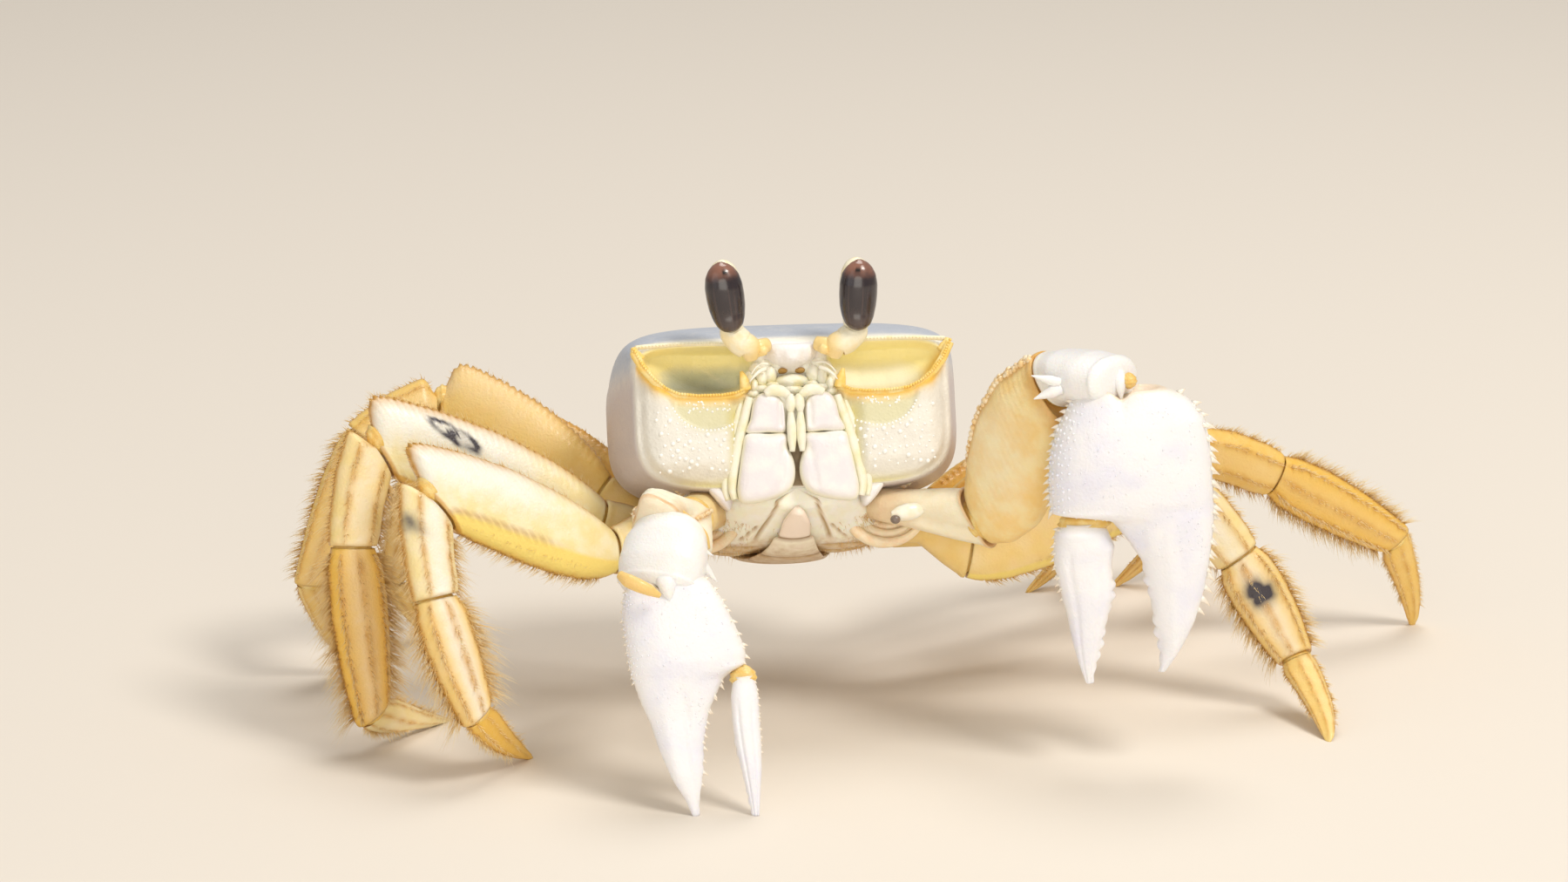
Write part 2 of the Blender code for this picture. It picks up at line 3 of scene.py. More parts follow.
import bmesh
import bpy
import numpy as np
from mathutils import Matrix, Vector


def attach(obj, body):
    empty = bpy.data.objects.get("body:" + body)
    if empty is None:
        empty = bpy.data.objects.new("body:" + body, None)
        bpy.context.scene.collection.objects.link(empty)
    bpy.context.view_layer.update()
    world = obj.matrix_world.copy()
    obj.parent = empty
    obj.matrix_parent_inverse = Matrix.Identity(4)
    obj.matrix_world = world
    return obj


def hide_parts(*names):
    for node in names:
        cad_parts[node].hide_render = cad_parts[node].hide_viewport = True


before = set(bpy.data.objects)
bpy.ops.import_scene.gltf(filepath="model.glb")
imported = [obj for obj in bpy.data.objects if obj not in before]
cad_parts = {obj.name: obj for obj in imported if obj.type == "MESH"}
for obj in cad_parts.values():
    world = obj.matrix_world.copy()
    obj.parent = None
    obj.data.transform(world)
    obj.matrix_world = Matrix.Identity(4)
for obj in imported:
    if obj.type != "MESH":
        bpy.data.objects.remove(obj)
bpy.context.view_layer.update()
MM = 0.001


# Stage.  A plain pale floor that carries the crab, a large soft lamp high on the crab's left, a weaker one on
# its right, a broad one overhead and a weak one low in front, and a long lens a little above the crab's eyes.
FLOOR_REACH = 3.0
FLOOR_COLOUR = (0.80, 0.74, 0.66)
VIEW_AZIMUTH = -7.0
VIEW_HEIGHT = 16.0
VIEW_DISTANCE = 0.570
VIEW_CENTRE = Vector((-0.0143, -0.0099, 0.0368))
VIEW_LENS = 105.0
SKY_COLOUR, SKY_POWER = (0.95, 0.91, 0.86), 0.42
LAMPS = (  # name, where it stands, size, power, colour
    ("key_lamp", (0.38, -0.40, 0.80), 0.30, 4.6, (1.0, 0.96, 0.90)),
    ("fill_lamp", (-0.75, -0.55, 0.35), 0.80, 0.9, (0.93, 0.96, 1.0)),
    ("top_lamp", (0.10, 0.30, 0.95), 0.50, 3.2, (1.0, 0.98, 0.95)),
    ("low_lamp", (-0.10, -0.75, 0.12), 0.60, 2.1, (1.0, 0.94, 0.84)),
)


def show(name, data):
    """A new object with this data, put in the scene."""
    thing = bpy.data.objects.new(name, data)
    bpy.context.scene.collection.objects.link(thing)
    return thing


floor_mesh = bpy.data.meshes.new("floor")
corners = [(x * FLOOR_REACH, y * FLOOR_REACH, 0) for x, y in ((-1, -1), (1, -1), (1, 1), (-1, 1))]
floor_mesh.from_pydata(corners, [], [(0, 1, 2, 3)])
floor = show("floor", floor_mesh)
floor_finish = bpy.data.materials.new("pale_floor")
floor_finish.use_nodes = True
floor_shader = floor_finish.node_tree.nodes["Principled BSDF"]
floor_shader.inputs["Base Color"].default_value = (*FLOOR_COLOUR, 1)
floor_shader.inputs["Roughness"].default_value = 0.85
floor_mesh.materials.append(floor_finish)

studio = bpy.data.worlds.new("studio")
studio.use_nodes = True
studio.node_tree.nodes["Background"].inputs["Color"].default_value = (*SKY_COLOUR, 1)
studio.node_tree.nodes["Background"].inputs["Strength"].default_value = SKY_POWER
bpy.context.scene.world = studio
bpy.context.scene.view_settings.view_transform = "Standard"
for name, place, size, power, colour in LAMPS:
    lamp = bpy.data.lights.new(name, "AREA")
    lamp.shape = "DISK"
    lamp.size = size
    lamp.energy = power
    lamp.color = colour
    stand = show(name, lamp)
    stand.location = place
    stand.rotation_euler = (VIEW_CENTRE - Vector(place)).to_track_quat("-Z", "Y").to_euler()

azimuth = math.radians(VIEW_AZIMUTH)
height = math.radians(VIEW_HEIGHT)
back = Vector((math.sin(azimuth) * math.cos(height), -math.cos(azimuth) * math.cos(height), math.sin(height)))
lens = bpy.data.cameras.new("view")
lens.lens = VIEW_LENS
lens.clip_start = 0.01
view = show("view", lens)
view.location = VIEW_CENTRE + back * VIEW_DISTANCE
view.rotation_euler = (-back).to_track_quat("-Z", "Y").to_euler()
bpy.context.scene.camera = view


# Carapace.  The back shell: chalky and finely granular, one piece from the eye sockets to the hind margin.
# It is drawn level, in mm from the middle of the body, then tipped nose up on its place over the legs.
TRUNK_PLACE = np.array((-13.1, 3.1, 34.9))
TRUNK_PITCH = math.radians(23.0)
HALF_WIDTH, FRONT_HALF_WIDTH, REAR_HALF_WIDTH = 22.2, 19.8, 9.5
FACE_Y, REAR_Y = -14.0, 17.5
WIDEST_AT, CREST_AT, FLOOR_RISE_AT = 0.45, 0.42, 0.6
CREST, CREST_FALL_FRONT, CREST_FALL_REAR = 12.8, 3.6, 10.0
SHELL_FLOOR, FLOOR_RISE, WAIST = -9.5, 6.5, 2.0
SHELL_SIDES, SHELL_RINGS, FACE_RINGS = 352, 90, 74
SOCKET_RIM_X = (4.2, 4.7, 5.6, 7.0, 9.0, 12.0, 14.4, 16.0, 17.5, 18.8, 20.0)
SOCKET_RIM_Z = (7.4, 4.9, 3.1, 2.4, 2.1, 2.1, 2.4, 3.1, 4.3, 6.0, 8.4)
SOCKET_TOP_X = (4.2, 5.0, 7.0, 10.0, 14.0, 18.0, 20.0)
SOCKET_TOP_Z = (7.6, 8.3, 8.8, 9.0, 9.0, 8.8, 8.6)
CRESCENT_X, CRESCENT_Z = 10.6, 2.3  # middle of the crescent of shell under each socket
CRESCENT_WIDE, CRESCENT_HIGH = 4.9, 4.4


def ramp(value, low, high):
    """Smooth step from 0 at low to 1 at high."""
    t = np.clip((value - low) / (high - low), 0.0, 1.0)
    return t * t * (3 - 2 * t)


def bell(value, width):
    return np.exp(-(value / width) ** 2)


def squared(wave, power):
    """A sine or cosine bent so that a circle comes out as a squared oval."""
    return np.copysign(np.abs(wave) ** (2 / power), wave)


def trunk_to_world(points):
    """Points of the level trunk, in mm, on their tipped place, in mm."""
    points = np.asarray(points, float)
    c, s = math.cos(TRUNK_PITCH), -math.sin(TRUNK_PITCH)
    turned = np.stack([points[..., 0], points[..., 1] * c - points[..., 2] * s,
                       points[..., 1] * s + points[..., 2] * c], -1)
    return turned + TRUNK_PLACE


def make_piece(name, shell, material, instead=()):
    """One closed piece, shaded smooth, from a shell: points in mm, faces and the marks for its finish."""
    points, faces, marks = (*shell, {})[:3]
    mesh = bpy.data.meshes.new(name)
    mesh.from_pydata((np.asarray(points) * MM).tolist(), [], faces)
    for mark, values in marks.items():
        layer = mesh.attributes.new(mark, "FLOAT", "POINT")
        layer.data.foreach_set("value", np.asarray(values, np.float32).ravel())
    work = bmesh.new()
    work.from_mesh(mesh)
    bmesh.ops.recalc_face_normals(work, faces=work.faces[:])
    work.to_mesh(mesh)
    work.free()
    mesh.shade_smooth()
    mesh.materials.append(material)
    piece = show(name, mesh)
    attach(piece, "root")
    if instead:
        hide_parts(*instead)
    return piece


def close_rings(rings):
    """Points and faces of a shell through rings, shut at both ends by a middle point."""
    count, sides = rings.shape[:2]
    points = np.concatenate([rings.reshape(-1, 3), rings[:1].mean(1), rings[-1:].mean(1)])
    i, j = np.meshgrid(np.arange(count - 1), np.arange(sides), indexing="ij")
    k = (j + 1) % sides
    quads = np.stack([i * sides + j, i * sides + k, (i + 1) * sides + k, (i + 1) * sides + j], -1)
    faces = quads.reshape(-1, 4).tolist()
    first, last = count * sides, count * sides + 1
    for a in range(sides):
        b = (a + 1) % sides
        faces.append((first, b, a))
        faces.append((last, (count - 1) * sides + a, (count - 1) * sides + b))
    return points, faces


def with_ends(values):
    """Marks given ring by ring, with one more for each closing point."""
    return np.concatenate([values.ravel(), values[:1].mean(1), values[-1:].mean(1)])


def ring_marks(**marks):
    return {mark: with_ends(values) for mark, values in marks.items()}


def feed(tree, node, inputs):
    """Gives a node's inputs their values, or links them to the outputs of other nodes."""
    for name, value in inputs.items():
        if isinstance(name, int):
            socket = node.inputs[name]
        else:
            socket = next(socket for socket in node.inputs if socket.name == name and socket.enabled)
        if isinstance(value, bpy.types.NodeSocket):
            tree.links.new(value, socket)
        else:
            socket.default_value = value


def put(tree, kind, inputs=None, **settings):
    """A new node with its settings, its inputs fed; the result is its outputs."""
    node = tree.nodes.new(kind)
    for setting, value in settings.items():
        setattr(node, setting, value)
    feed(tree, node, inputs or {})
    return node.outputs


def finish(name, colour, mottle=None, layers=(), grain=(), *, rough, gloss=0.0, glow=0.0):
    """Shell finish: a colour with a soft mottle, other colours where a mark lies, and a fine grain.

    mottle is colour, size in mm, softness low and high; a layer is mark, colour, how far noise breaks
    its edge; grain is size in mm and height in mm, once or more.
    """
    made = bpy.data.materials.new(name)
    made.use_nodes = True
    tree = made.node_tree
    shader = tree.nodes["Principled BSDF"]
    where = put(tree, "ShaderNodeTexCoord")["Object"]

    def noise(size, detail):
        return put(tree, "ShaderNodeTexNoise", {"Scale": 1.0 / (size * MM), "Detail": detail,
                                                "Vector": where})["Fac"]

    def mixed(factor, under, over):
        under, over = ((*value, 1.0) if isinstance(value, tuple) else value for value in (under, over))
        return put(tree, "ShaderNodeMix", {"Factor": factor, "A": under, "B": over},
                   data_type="RGBA")["Result"]

    def times(inputs, operation="MULTIPLY_ADD", clamp=False):
        return put(tree, "ShaderNodeMath", dict(enumerate(inputs)), operation=operation, use_clamp=clamp)[0]

    result = colour
    if mottle:
        second, size, low, high = mottle
        cloud = put(tree, "ShaderNodeMapRange", {"From Min": low, "From Max": high,
                                                 "Value": noise(size, 4.0)},
                    interpolation_type="SMOOTHSTEP")["Result"]
        result = mixed(cloud, result, second)
    breaker = noise(1.1, 3.0) if layers else None
    for mark, over, ragged in layers:
        factor = put(tree, "ShaderNodeAttribute", attribute_name=mark)["Fac"]
        if ragged:
            shift = times((breaker, ragged, -0.5 * ragged))
            held = times((factor, 4.0), "MULTIPLY", clamp=True)
            factor = times((shift, held, factor), clamp=True)
        result = mixed(factor, result, over)
    feed(tree, shader, {"Base Color": (*result, 1.0) if isinstance(result, tuple) else result,
                        "Roughness": rough, "Coat Weight": gloss, "Coat Roughness": 0.15})
    if glow:
        feed(tree, shader, {"Subsurface Weight": glow, "Subsurface Radius": (1.0, 0.6, 0.3),
                            "Subsurface Scale": 1.2 * MM})
    normal = {}
    for size, rise in grain:
        bump = {"Strength": 1.0, "Distance": rise * MM, "Height": noise(size, 2.0), **normal}
        normal = {"Normal": put(tree, "ShaderNodeBump", bump)["Normal"]}
    feed(tree, shader, normal)
    return made


def around(count, shift=0.0):
    """Turns spaced evenly round a ring."""
    return 2 * np.pi * (np.arange(count) + shift) / count


def shell_half_width(u):
    front = (FRONT_HALF_WIDTH + (HALF_WIDTH - FRONT_HALF_WIDTH)
             * np.sin(0.5 * np.pi * np.minimum(u, WIDEST_AT) / WIDEST_AT))
    return front + (REAR_HALF_WIDTH - HALF_WIDTH) * np.maximum(0, (u - WIDEST_AT) / (1 - WIDEST_AT)) ** 2


def shell_top(u):
    return (CREST - CREST_FALL_FRONT * np.maximum(0, 1 - u / CREST_AT) ** 2
            - CREST_FALL_REAR * np.maximum(0, (u - CREST_AT) / (1 - CREST_AT)) ** 2.3)


def shell_bottom(u):
    return SHELL_FLOOR + FLOOR_RISE * np.maximum(0, (u - FLOOR_RISE_AT) / (1 - FLOOR_RISE_AT)) ** 1.5


def shell_ring(u, sides, shrink=0.0):
    """One upright ring of the carapace, a squared oval that is flatter below."""
    angle = np.linspace(0, 2 * np.pi, 2881)
    c, s = np.cos(angle), np.sin(angle)
    square = 9.0 - 6.2 * min(1.0, u / CREST_AT) ** 0.8
    power = np.where(s > 0, square, 4.5)
    top, bottom = float(shell_top(u)) - shrink, float(shell_bottom(u)) + shrink
    waist = min(WAIST, (top + bottom) / 2 + 1.0)
    x = (float(shell_half_width(u)) - shrink) * squared(c, power)
    rise = np.where(s > 0, top - waist, waist - bottom)
    z = waist + rise * squared(s, power)
    run = np.concatenate([[0], np.cumsum(np.hypot(np.diff(x), np.diff(z)))])
    even = (np.arange(sides) + 0.5) / sides * run[-1]
    return np.stack([np.interp(even, run, x), np.full(sides, FACE_Y + (REAR_Y - FACE_Y) * u),
                     np.interp(even, run, z)], -1)


def socket_edges(x):
    """Lower and upper rim of the eye socket at a distance from the middle line."""
    x = np.abs(x)
    return np.interp(x, SOCKET_RIM_X, SOCKET_RIM_Z), np.interp(x, SOCKET_TOP_X, SOCKET_TOP_Z)


def from_crescent(x, z, wider=0.0):
    """Distance from the middle of the crescent under a socket, 1 on its edge."""
    return np.hypot((np.abs(x) - CRESCENT_X) / (CRESCENT_WIDE + wider),
                    (z - CRESCENT_Z) / (CRESCENT_HIGH + wider))


def face_relief(x, z):
    """How far the face stands out from its flat plane: cheeks, sockets, rims, brow lobe and mouth field."""
    a = np.abs(x)
    low, top = socket_edges(x)
    gap = np.maximum(top - low, 0.1)
    t = (z - low) / gap
    inside = ramp(t, -0.02, 0.22) * ramp(1.04 - t, 0.0, 0.16) * ramp(a, 4.3, 5.4) * ramp(20.0 - a, 0.0, 1.6)
    depth = np.interp(a, (4.0, 6.0, 9.0, 12.0, 15.0, 18.0, 20.0), (1.6, 4.0, 4.9, 4.7, 3.7, 2.0, 0.2))
    hollow = -inside * depth * (0.55 + 0.45 * ramp(t, 0.1, 0.75))
    cheek = (2.0 * ramp(a, 6.6, 9.0) * ramp(20.6 - a, 0.0, 4.2) * ramp(z, -9.6, -5.6)
             * ramp(low + 0.6 - z, 0.0, 2.2))
    cheek -= 0.35 * ramp(1.04 - from_crescent(x, z), 0.0, 0.12) * ramp(low - z, 0.0, 0.5)
    rim = 1.1 * bell(z - low + 0.1, 0.62) * ramp(a, 5.0, 6.4)
    rim += 0.9 * bell(z - low + 0.1, 1.0) * ramp(a, 14.5, 18.0)
    brow = 0.7 * bell(z - top - 0.2, 0.55) * ramp(a, 3.6, 5.4)
    reach = np.sqrt((x / (3.3 - 0.22 * np.clip(8.0 - z, 0, 3))) ** 2 + (np.minimum(z - 7.6, 0) / 2.1) ** 2)
    lobe = 2.5 * np.sqrt(np.clip(1 - reach ** 2.6, 0, 1)) * (1 - 0.5 * ramp(z, 7.6, 9.4))
    lobe += 0.35 * (bell(x, 0.9) * bell(z - 6.3, 0.7) - bell(np.abs(x) - 1.35, 0.4) * bell(z - 6.5, 0.9))
    mouth = (-0.9 * ramp(6.6 - a, 0.0, 1.2) * ramp(5.6 - z, 0.0, 0.8)
             + 0.9 * ramp(7.4 - a, 0.0, 1.0) * ramp(3.0 - z, 0.0, 1.0))
    return hollow + cheek + rim + brow + lobe + mouth


stations = np.concatenate([np.linspace(0.004, 0.1, 16), np.linspace(0.1, 0.9, SHELL_RINGS - 34)[1:],
                           np.linspace(0.9, 1.0, 20)[1:]])
body_rings = [shell_ring(u, SHELL_SIDES, 0.25 * bell(u / 0.02, 1.0)) for u in stations]
outline = shell_ring(0.0, SHELL_SIDES, 0.45)
middle = np.array((0.0, FACE_Y, 0.6))
face_rings = []
for s in np.linspace(0.0, 1.0, FACE_RINGS)[1:] ** 0.92:
    ring = middle + (outline - middle) * s
    ring[:, 1] -= face_relief(ring[:, 0], ring[:, 2]) * ramp(1.0 - s, 0.0, 0.05)
    face_rings.append(ring)
rear_rings = []
for s in np.linspace(0.0, 1.0, 9)[1:-1]:
    ring = body_rings[-1].copy()
    centre = ring.mean(0)
    ring = centre + (ring - centre) * math.sqrt(1 - s * s)
    ring[:, 1] += 0.8 * s
    rear_rings.append(ring)
shell_rings = np.array(face_rings + body_rings + rear_rings)
faces_of_face = len(face_rings)

x, y, z = shell_rings[..., 0], shell_rings[..., 1], shell_rings[..., 2]
lengthwise = (y - FACE_Y) / (REAR_Y - FACE_Y)
on_top = ramp(z, 3.0, 7.5) * ramp(lengthwise, 0.01, 0.05)
groove = bell(np.abs(x) - 5.0 - 2.5 * np.abs(lengthwise - 0.55) * 2, 1.0) * bell(lengthwise - 0.56, 0.16)
groove += 0.7 * bell(lengthwise - 0.50 - 0.004 * np.abs(x), 0.02) * ramp(16 - np.abs(x), 0, 6)
dip = 0.5 * groove * on_top
shell_rings[..., 2] -= dip
low_edge, top_edge = socket_edges(x)
span = np.maximum(top_edge - low_edge, 0.1)
face_part = np.zeros_like(x)
face_part[:faces_of_face] = 1.0
a = np.abs(x)
in_socket = (face_part * ramp((z - low_edge) / span, 0.02, 0.2) * ramp(top_edge - z, -0.1, 0.4)
             * ramp(a, 4.4, 5.2) * ramp(20 - a, 0, 0.9))
roof = in_socket * np.clip(ramp(z, 5.4, 7.4) + ramp(a, 14.0, 17.5) * ramp(z, 3.6, 5.6), 0, 1)
rim_mark = face_part * np.clip(bell(z - low_edge + 0.15, 0.75) * ramp(a, 5.0, 6.5)
                             + bell(z - low_edge, 1.5) * ramp(a, 15.5, 18.0), 0, 1)
lens_mark = face_part * ramp(1.1 - from_crescent(x, z, 0.3), 0, 0.3) * ramp(low_edge - z, 0.2, 1.2)
groove_mark = (face_part * np.clip(bell(a - 7.0, 1.2) * ramp(1.5 - z, 0, 2)
                                   + bell(z + 9.3, 1.0) * ramp(a, 6, 9), 0, 1))
flank_mark = (1 - face_part) * ramp(7.5 - z, 0, 4.5) * ramp(lengthwise, 0.0, 0.03)
brow_mark = np.clip(face_part * ramp(z - top_edge, -0.1, 0.3) + bell(lengthwise, 0.03) * ramp(z, 6, 8)
                    + face_part * ramp(7.6 - a, 0, 1.0) * ramp(z, -5.0, -3.0), 0, 1)
socket_dark = in_socket * (1 - roof)
# Painted light: the inside of the crab's left socket, which the light reaches, is painted pale cream; the
# same mark also lays a pale streak across the crab's right socket.
pool = in_socket * ramp(x, 4.0, 6.0) * ramp(17.5 - a, 0, 3) * ramp(7.8 - z, 0, 1.2)
# Painted shade: the middle of the crab's right socket, which the light does not reach, is painted dark
# grey-green.
pit = in_socket * ramp(-x, 6.0, 8.0) * bell(np.hypot((x + 11.0) / 5.2, (z - 3.6) / 2.2), 1.0)
streak = bell(x + 9.0 + 1.1 * (z - 5.0), 0.5) * ramp(z, 3.6, 4.6) * ramp(7.2 - z, 0, 1.2)
pool = np.clip(pool + 0.7 * in_socket * streak, 0, 1)
# Painted shade: between the two lower mouth doors, where the slit lies in shade, the face is painted dark
# brown.
gap_shade = face_part * ramp(1.8 - a, 0, 0.6) * ramp(-1.5 - z, 0, 1.5)
lobe_mark = face_part * ramp(1.12 - np.sqrt((x / 3.4) ** 2 + (np.minimum(z - 7.6, 0) / 2.2) ** 2), 0.0, 0.2)

# Among these layers, the pale cream one over the left socket is painted light, and the dark grey-green one in
# the right socket and the dark brown one between the mouth doors are painted shade.
back_finish = finish(
    "back_shell", (0.79, 0.755, 0.68), ((0.85, 0.82, 0.74), 3.0, 0.35, 0.7),
    (("top", (0.50, 0.54, 0.62), 0.9), ("flank", (0.59, 0.53, 0.54), 0.25), ("brow", (0.90, 0.87, 0.76), 0.5),
     ("lens", (0.72, 0.68, 0.44), 0.2), ("groove", (0.72, 0.64, 0.26), 0.2),
     ("socket", (0.70, 0.73, 0.55), 0.1), ("pool", (0.93, 0.90, 0.70), 0.2),
     ("pit", (0.34, 0.37, 0.30), 0.3), ("roof", (1.0, 0.91, 0.46), 0.15), ("rim", (0.93, 0.58, 0.10), 0.2),
     ("lobe", (0.90, 0.86, 0.84), 0.1), ("gap", (0.28, 0.20, 0.11), 0.1)),
    ((0.35, 0.10), (1.6, 0.12)), rough=0.42, gloss=0.1)
back_marks = ring_marks(top=on_top, flank=flank_mark, brow=brow_mark, lens=lens_mark, groove=groove_mark,
                        rim=rim_mark, socket=socket_dark, roof=roof, pit=pit, pool=pool, lobe=lobe_mark,
                        gap=gap_shade)
make_piece("back_shell", (*close_rings(trunk_to_world(shell_rings)), back_marks), back_finish,
           ("carapace",))


# Rims of the eye sockets.  A thick orange ledge under each socket and a thin pale one over it, both edged
# with a row of fine beads, a pointed tooth at the outer corner and a short blunt one beside the feelers.
BEAD_GIRTH = 0.21
BEAD_STEP = 0.36
BROW_BEAD_GIRTH = 0.15
BROW_BEAD_STEP = 0.42
PATCH = 0.0015  # half the side of a bristle's patch on the unwrapped skin
RIM_GIRTH = 0.42
OUTER_TOOTH = ((18.9, 0.9, 7.0), (19.5, 0.9, 7.9), (19.75, 0.9, 8.7))  # x, forward, z
INNER_TOOTH = ((5.9, 0.6, 3.0), (6.1, 0.9, 4.2), (6.4, 1.0, 5.3))


def smooth_run(points, count, closed=False):
    """Points spaced evenly along a smooth curve through the given ones."""
    points = np.asarray(points, float)
    if closed:
        points = np.concatenate([points[-1:], points, points[:2]])
    else:
        points = np.concatenate([2 * points[:1] - points[1:2], points, 2 * points[-1:] - points[-2:-1]])
    pieces = []
    for i in range(1, len(points) - 2):
        t = np.linspace(0, 1, 24, endpoint=False)[:, None]
        p, q, r, s = points[i - 1:i + 3]
        pieces.append(0.5 * (2 * q + (r - p) * t + (2 * p - 5 * q + 4 * r - s) * t ** 2
                             + (3 * q - p - 3 * r + s) * t ** 3))
    if not closed:
        pieces.append(points[-2:-1])
    curve = np.concatenate(pieces)
    if closed:
        curve = np.concatenate([curve, curve[:1]])
    run = np.concatenate([[0], np.cumsum(np.linalg.norm(np.diff(curve, axis=0), axis=1))])
    want = np.linspace(0, run[-1], count, endpoint=not closed)
    return np.stack([np.interp(want, run, column) for column in curve.T], -1)


def units(vectors):
    return vectors / np.linalg.norm(vectors, axis=1)[:, None]


def round_sections(wide, deep, radius, sides, flat):
    """From the middle to the points of flattened circles, one for each radius."""
    turn = around(sides)
    return (wide[..., None, :] * (np.cos(turn)[None, :, None] * radius[:, None, None])
            + deep[..., None, :] * (np.sin(turn)[None, :, None] * radius[:, None, None] * flat))


def tube_rings(path, girths, flat=1.0, facing=(0, -1, 0), sides=12, count=24):
    """Rings of a rounded rod along a smooth path; flat is its depth towards facing against its width."""
    line = smooth_run(path, count)
    steps = np.linspace(0, 1, len(girths))
    girth = np.interp(np.linspace(0, 1, count), steps, girths)
    ahead = units(np.gradient(line, axis=0))
    out = units(facing - ahead * (ahead @ facing)[:, None])
    return line[:, None] + round_sections(np.cross(ahead, out), out, girth, sides, flat)


def rod(path, girths, flat=1.0, **more):
    return close_rings(tube_rings(path, girths, flat, **more))


def marked(shell, mark, value):
    """A shell with one mark that is the same all over."""
    return (*shell, {mark: np.full(len(shell[0]), value)})


def join_shells(shells):
    """One list of points and faces, and one set of marks, from several closed shells."""
    points, faces, marks, start = [], [], {}, 0
    for shell in shells:
        piece_points, piece_faces = shell[:2]
        points.append(piece_points)
        faces += [tuple(i + start for i in face) for face in piece_faces]
        for mark, values in (shell[2] if len(shell) > 2 else {}).items():
            marks.setdefault(mark, []).append(values)
        start += len(piece_points)
    return np.concatenate(points), faces, {mark: np.concatenate(values) for mark, values in marks.items()}


def sowing_tree(kind):
    """Geometry Nodes that set a bead, a spine or a bristle on every point and make one mesh of them."""
    tree = bpy.data.node_groups.new(f"sow_{kind}", "GeometryNodeTree")
    sizes = [(label, "INPUT", "Float") for label in ("Girth", "Reach", "Bend")]
    for label, way, sort in (("Geometry", "INPUT", "Geometry"), *sizes, ("Finish", "INPUT", "Material"),
                             ("Geometry", "OUTPUT", "Geometry")):
        tree.interface.new_socket(label, in_out=way, socket_type=f"NodeSocket{sort}")
    given = put(tree, "NodeGroupInput")

    def read(mark, data_type="FLOAT_VECTOR"):
        return put(tree, "GeometryNodeInputNamedAttribute", {"Name": mark}, data_type=data_type)["Attribute"]

    def times(first, second):
        return put(tree, "ShaderNodeMath", {0: first, 1: second}, operation="MULTIPLY")[0]

    def store(mark, value, mesh, data_type, domain="POINT"):
        return put(tree, "GeometryNodeStoreNamedAttribute", {"Name": mark, "Value": value, "Geometry": mesh},
                   data_type=data_type, domain=domain)["Geometry"]

    if kind == "bead":
        form = put(tree, "GeometryNodeMeshUVSphere", {"Segments": 8, "Rings": 5, "Radius": 1.0})["Mesh"]
    else:
        form = put(tree, "GeometryNodeMeshCone", {"Vertices": 7 if kind == "spine" else 3,
                                                  "Side Segments": 3, "Depth": 1.0, "Radius Top": 0.06,
                                                  "Radius Bottom": 1.0})["Mesh"]
    place = put(tree, "GeometryNodeInputPosition")[0]
    height = put(tree, "ShaderNodeSeparateXYZ", {0: place})["Z"]
    form = store("leaf", place, store("tip", height, form, "FLOAT"), "FLOAT_VECTOR")
    turn = put(tree, "FunctionNodeAxesToRotation", {"Primary Axis": read("way"),
                                                    "Secondary Axis": read("lie")},
               primary_axis="Z", secondary_axis="X")["Rotation"]
    wide = times(read("girth", "FLOAT"), given["Girth"])
    scale = put(tree, "ShaderNodeCombineXYZ", {"X": wide, "Y": wide,
                                               "Z": times(read("reach", "FLOAT"), given["Reach"])})[0]
    sown = put(tree, "GeometryNodeInstanceOnPoints",
               {"Points": given["Geometry"], "Instance": form, "Rotation": turn, "Scale": scale})["Instances"]
    result = put(tree, "GeometryNodeRealizeInstances", {"Geometry": sown})["Geometry"]
    leaf = put(tree, "ShaderNodeSeparateXYZ", {0: read("leaf")})
    if kind != "bead":
        # The bow is put on after the pieces are full size, so that it is in true millimetres.
        bow = times(times(times(leaf["Z"], leaf["Z"]), given["Bend"]), read("reach", "FLOAT"))
        shift = put(tree, "ShaderNodeVectorMath", {0: read("lie"), "Scale": bow}, operation="SCALE")[0]
        result = put(tree, "GeometryNodeSetPosition", {"Geometry": result, "Offset": shift})["Geometry"]
    small = put(tree, "ShaderNodeCombineXYZ", {axis: times(leaf[part], PATCH) for axis, part
                                               in (("X", "X"), ("Y", "Z"))})[0]
    spot = put(tree, "ShaderNodeVectorMath", {0: read("root"), 1: small}, operation="ADD")[0]
    result = store("OFBake", spot, result, "FLOAT2", "CORNER")
    result = put(tree, "GeometryNodeSetShadeSmooth", {"Geometry": result})["Geometry"]
    result = put(tree, "GeometryNodeSetMaterial", {"Geometry": result,
                                                   "Material": given["Finish"]})["Geometry"]
    put(tree, "NodeGroupOutput", {"Geometry": result})
    return tree


trees = {}


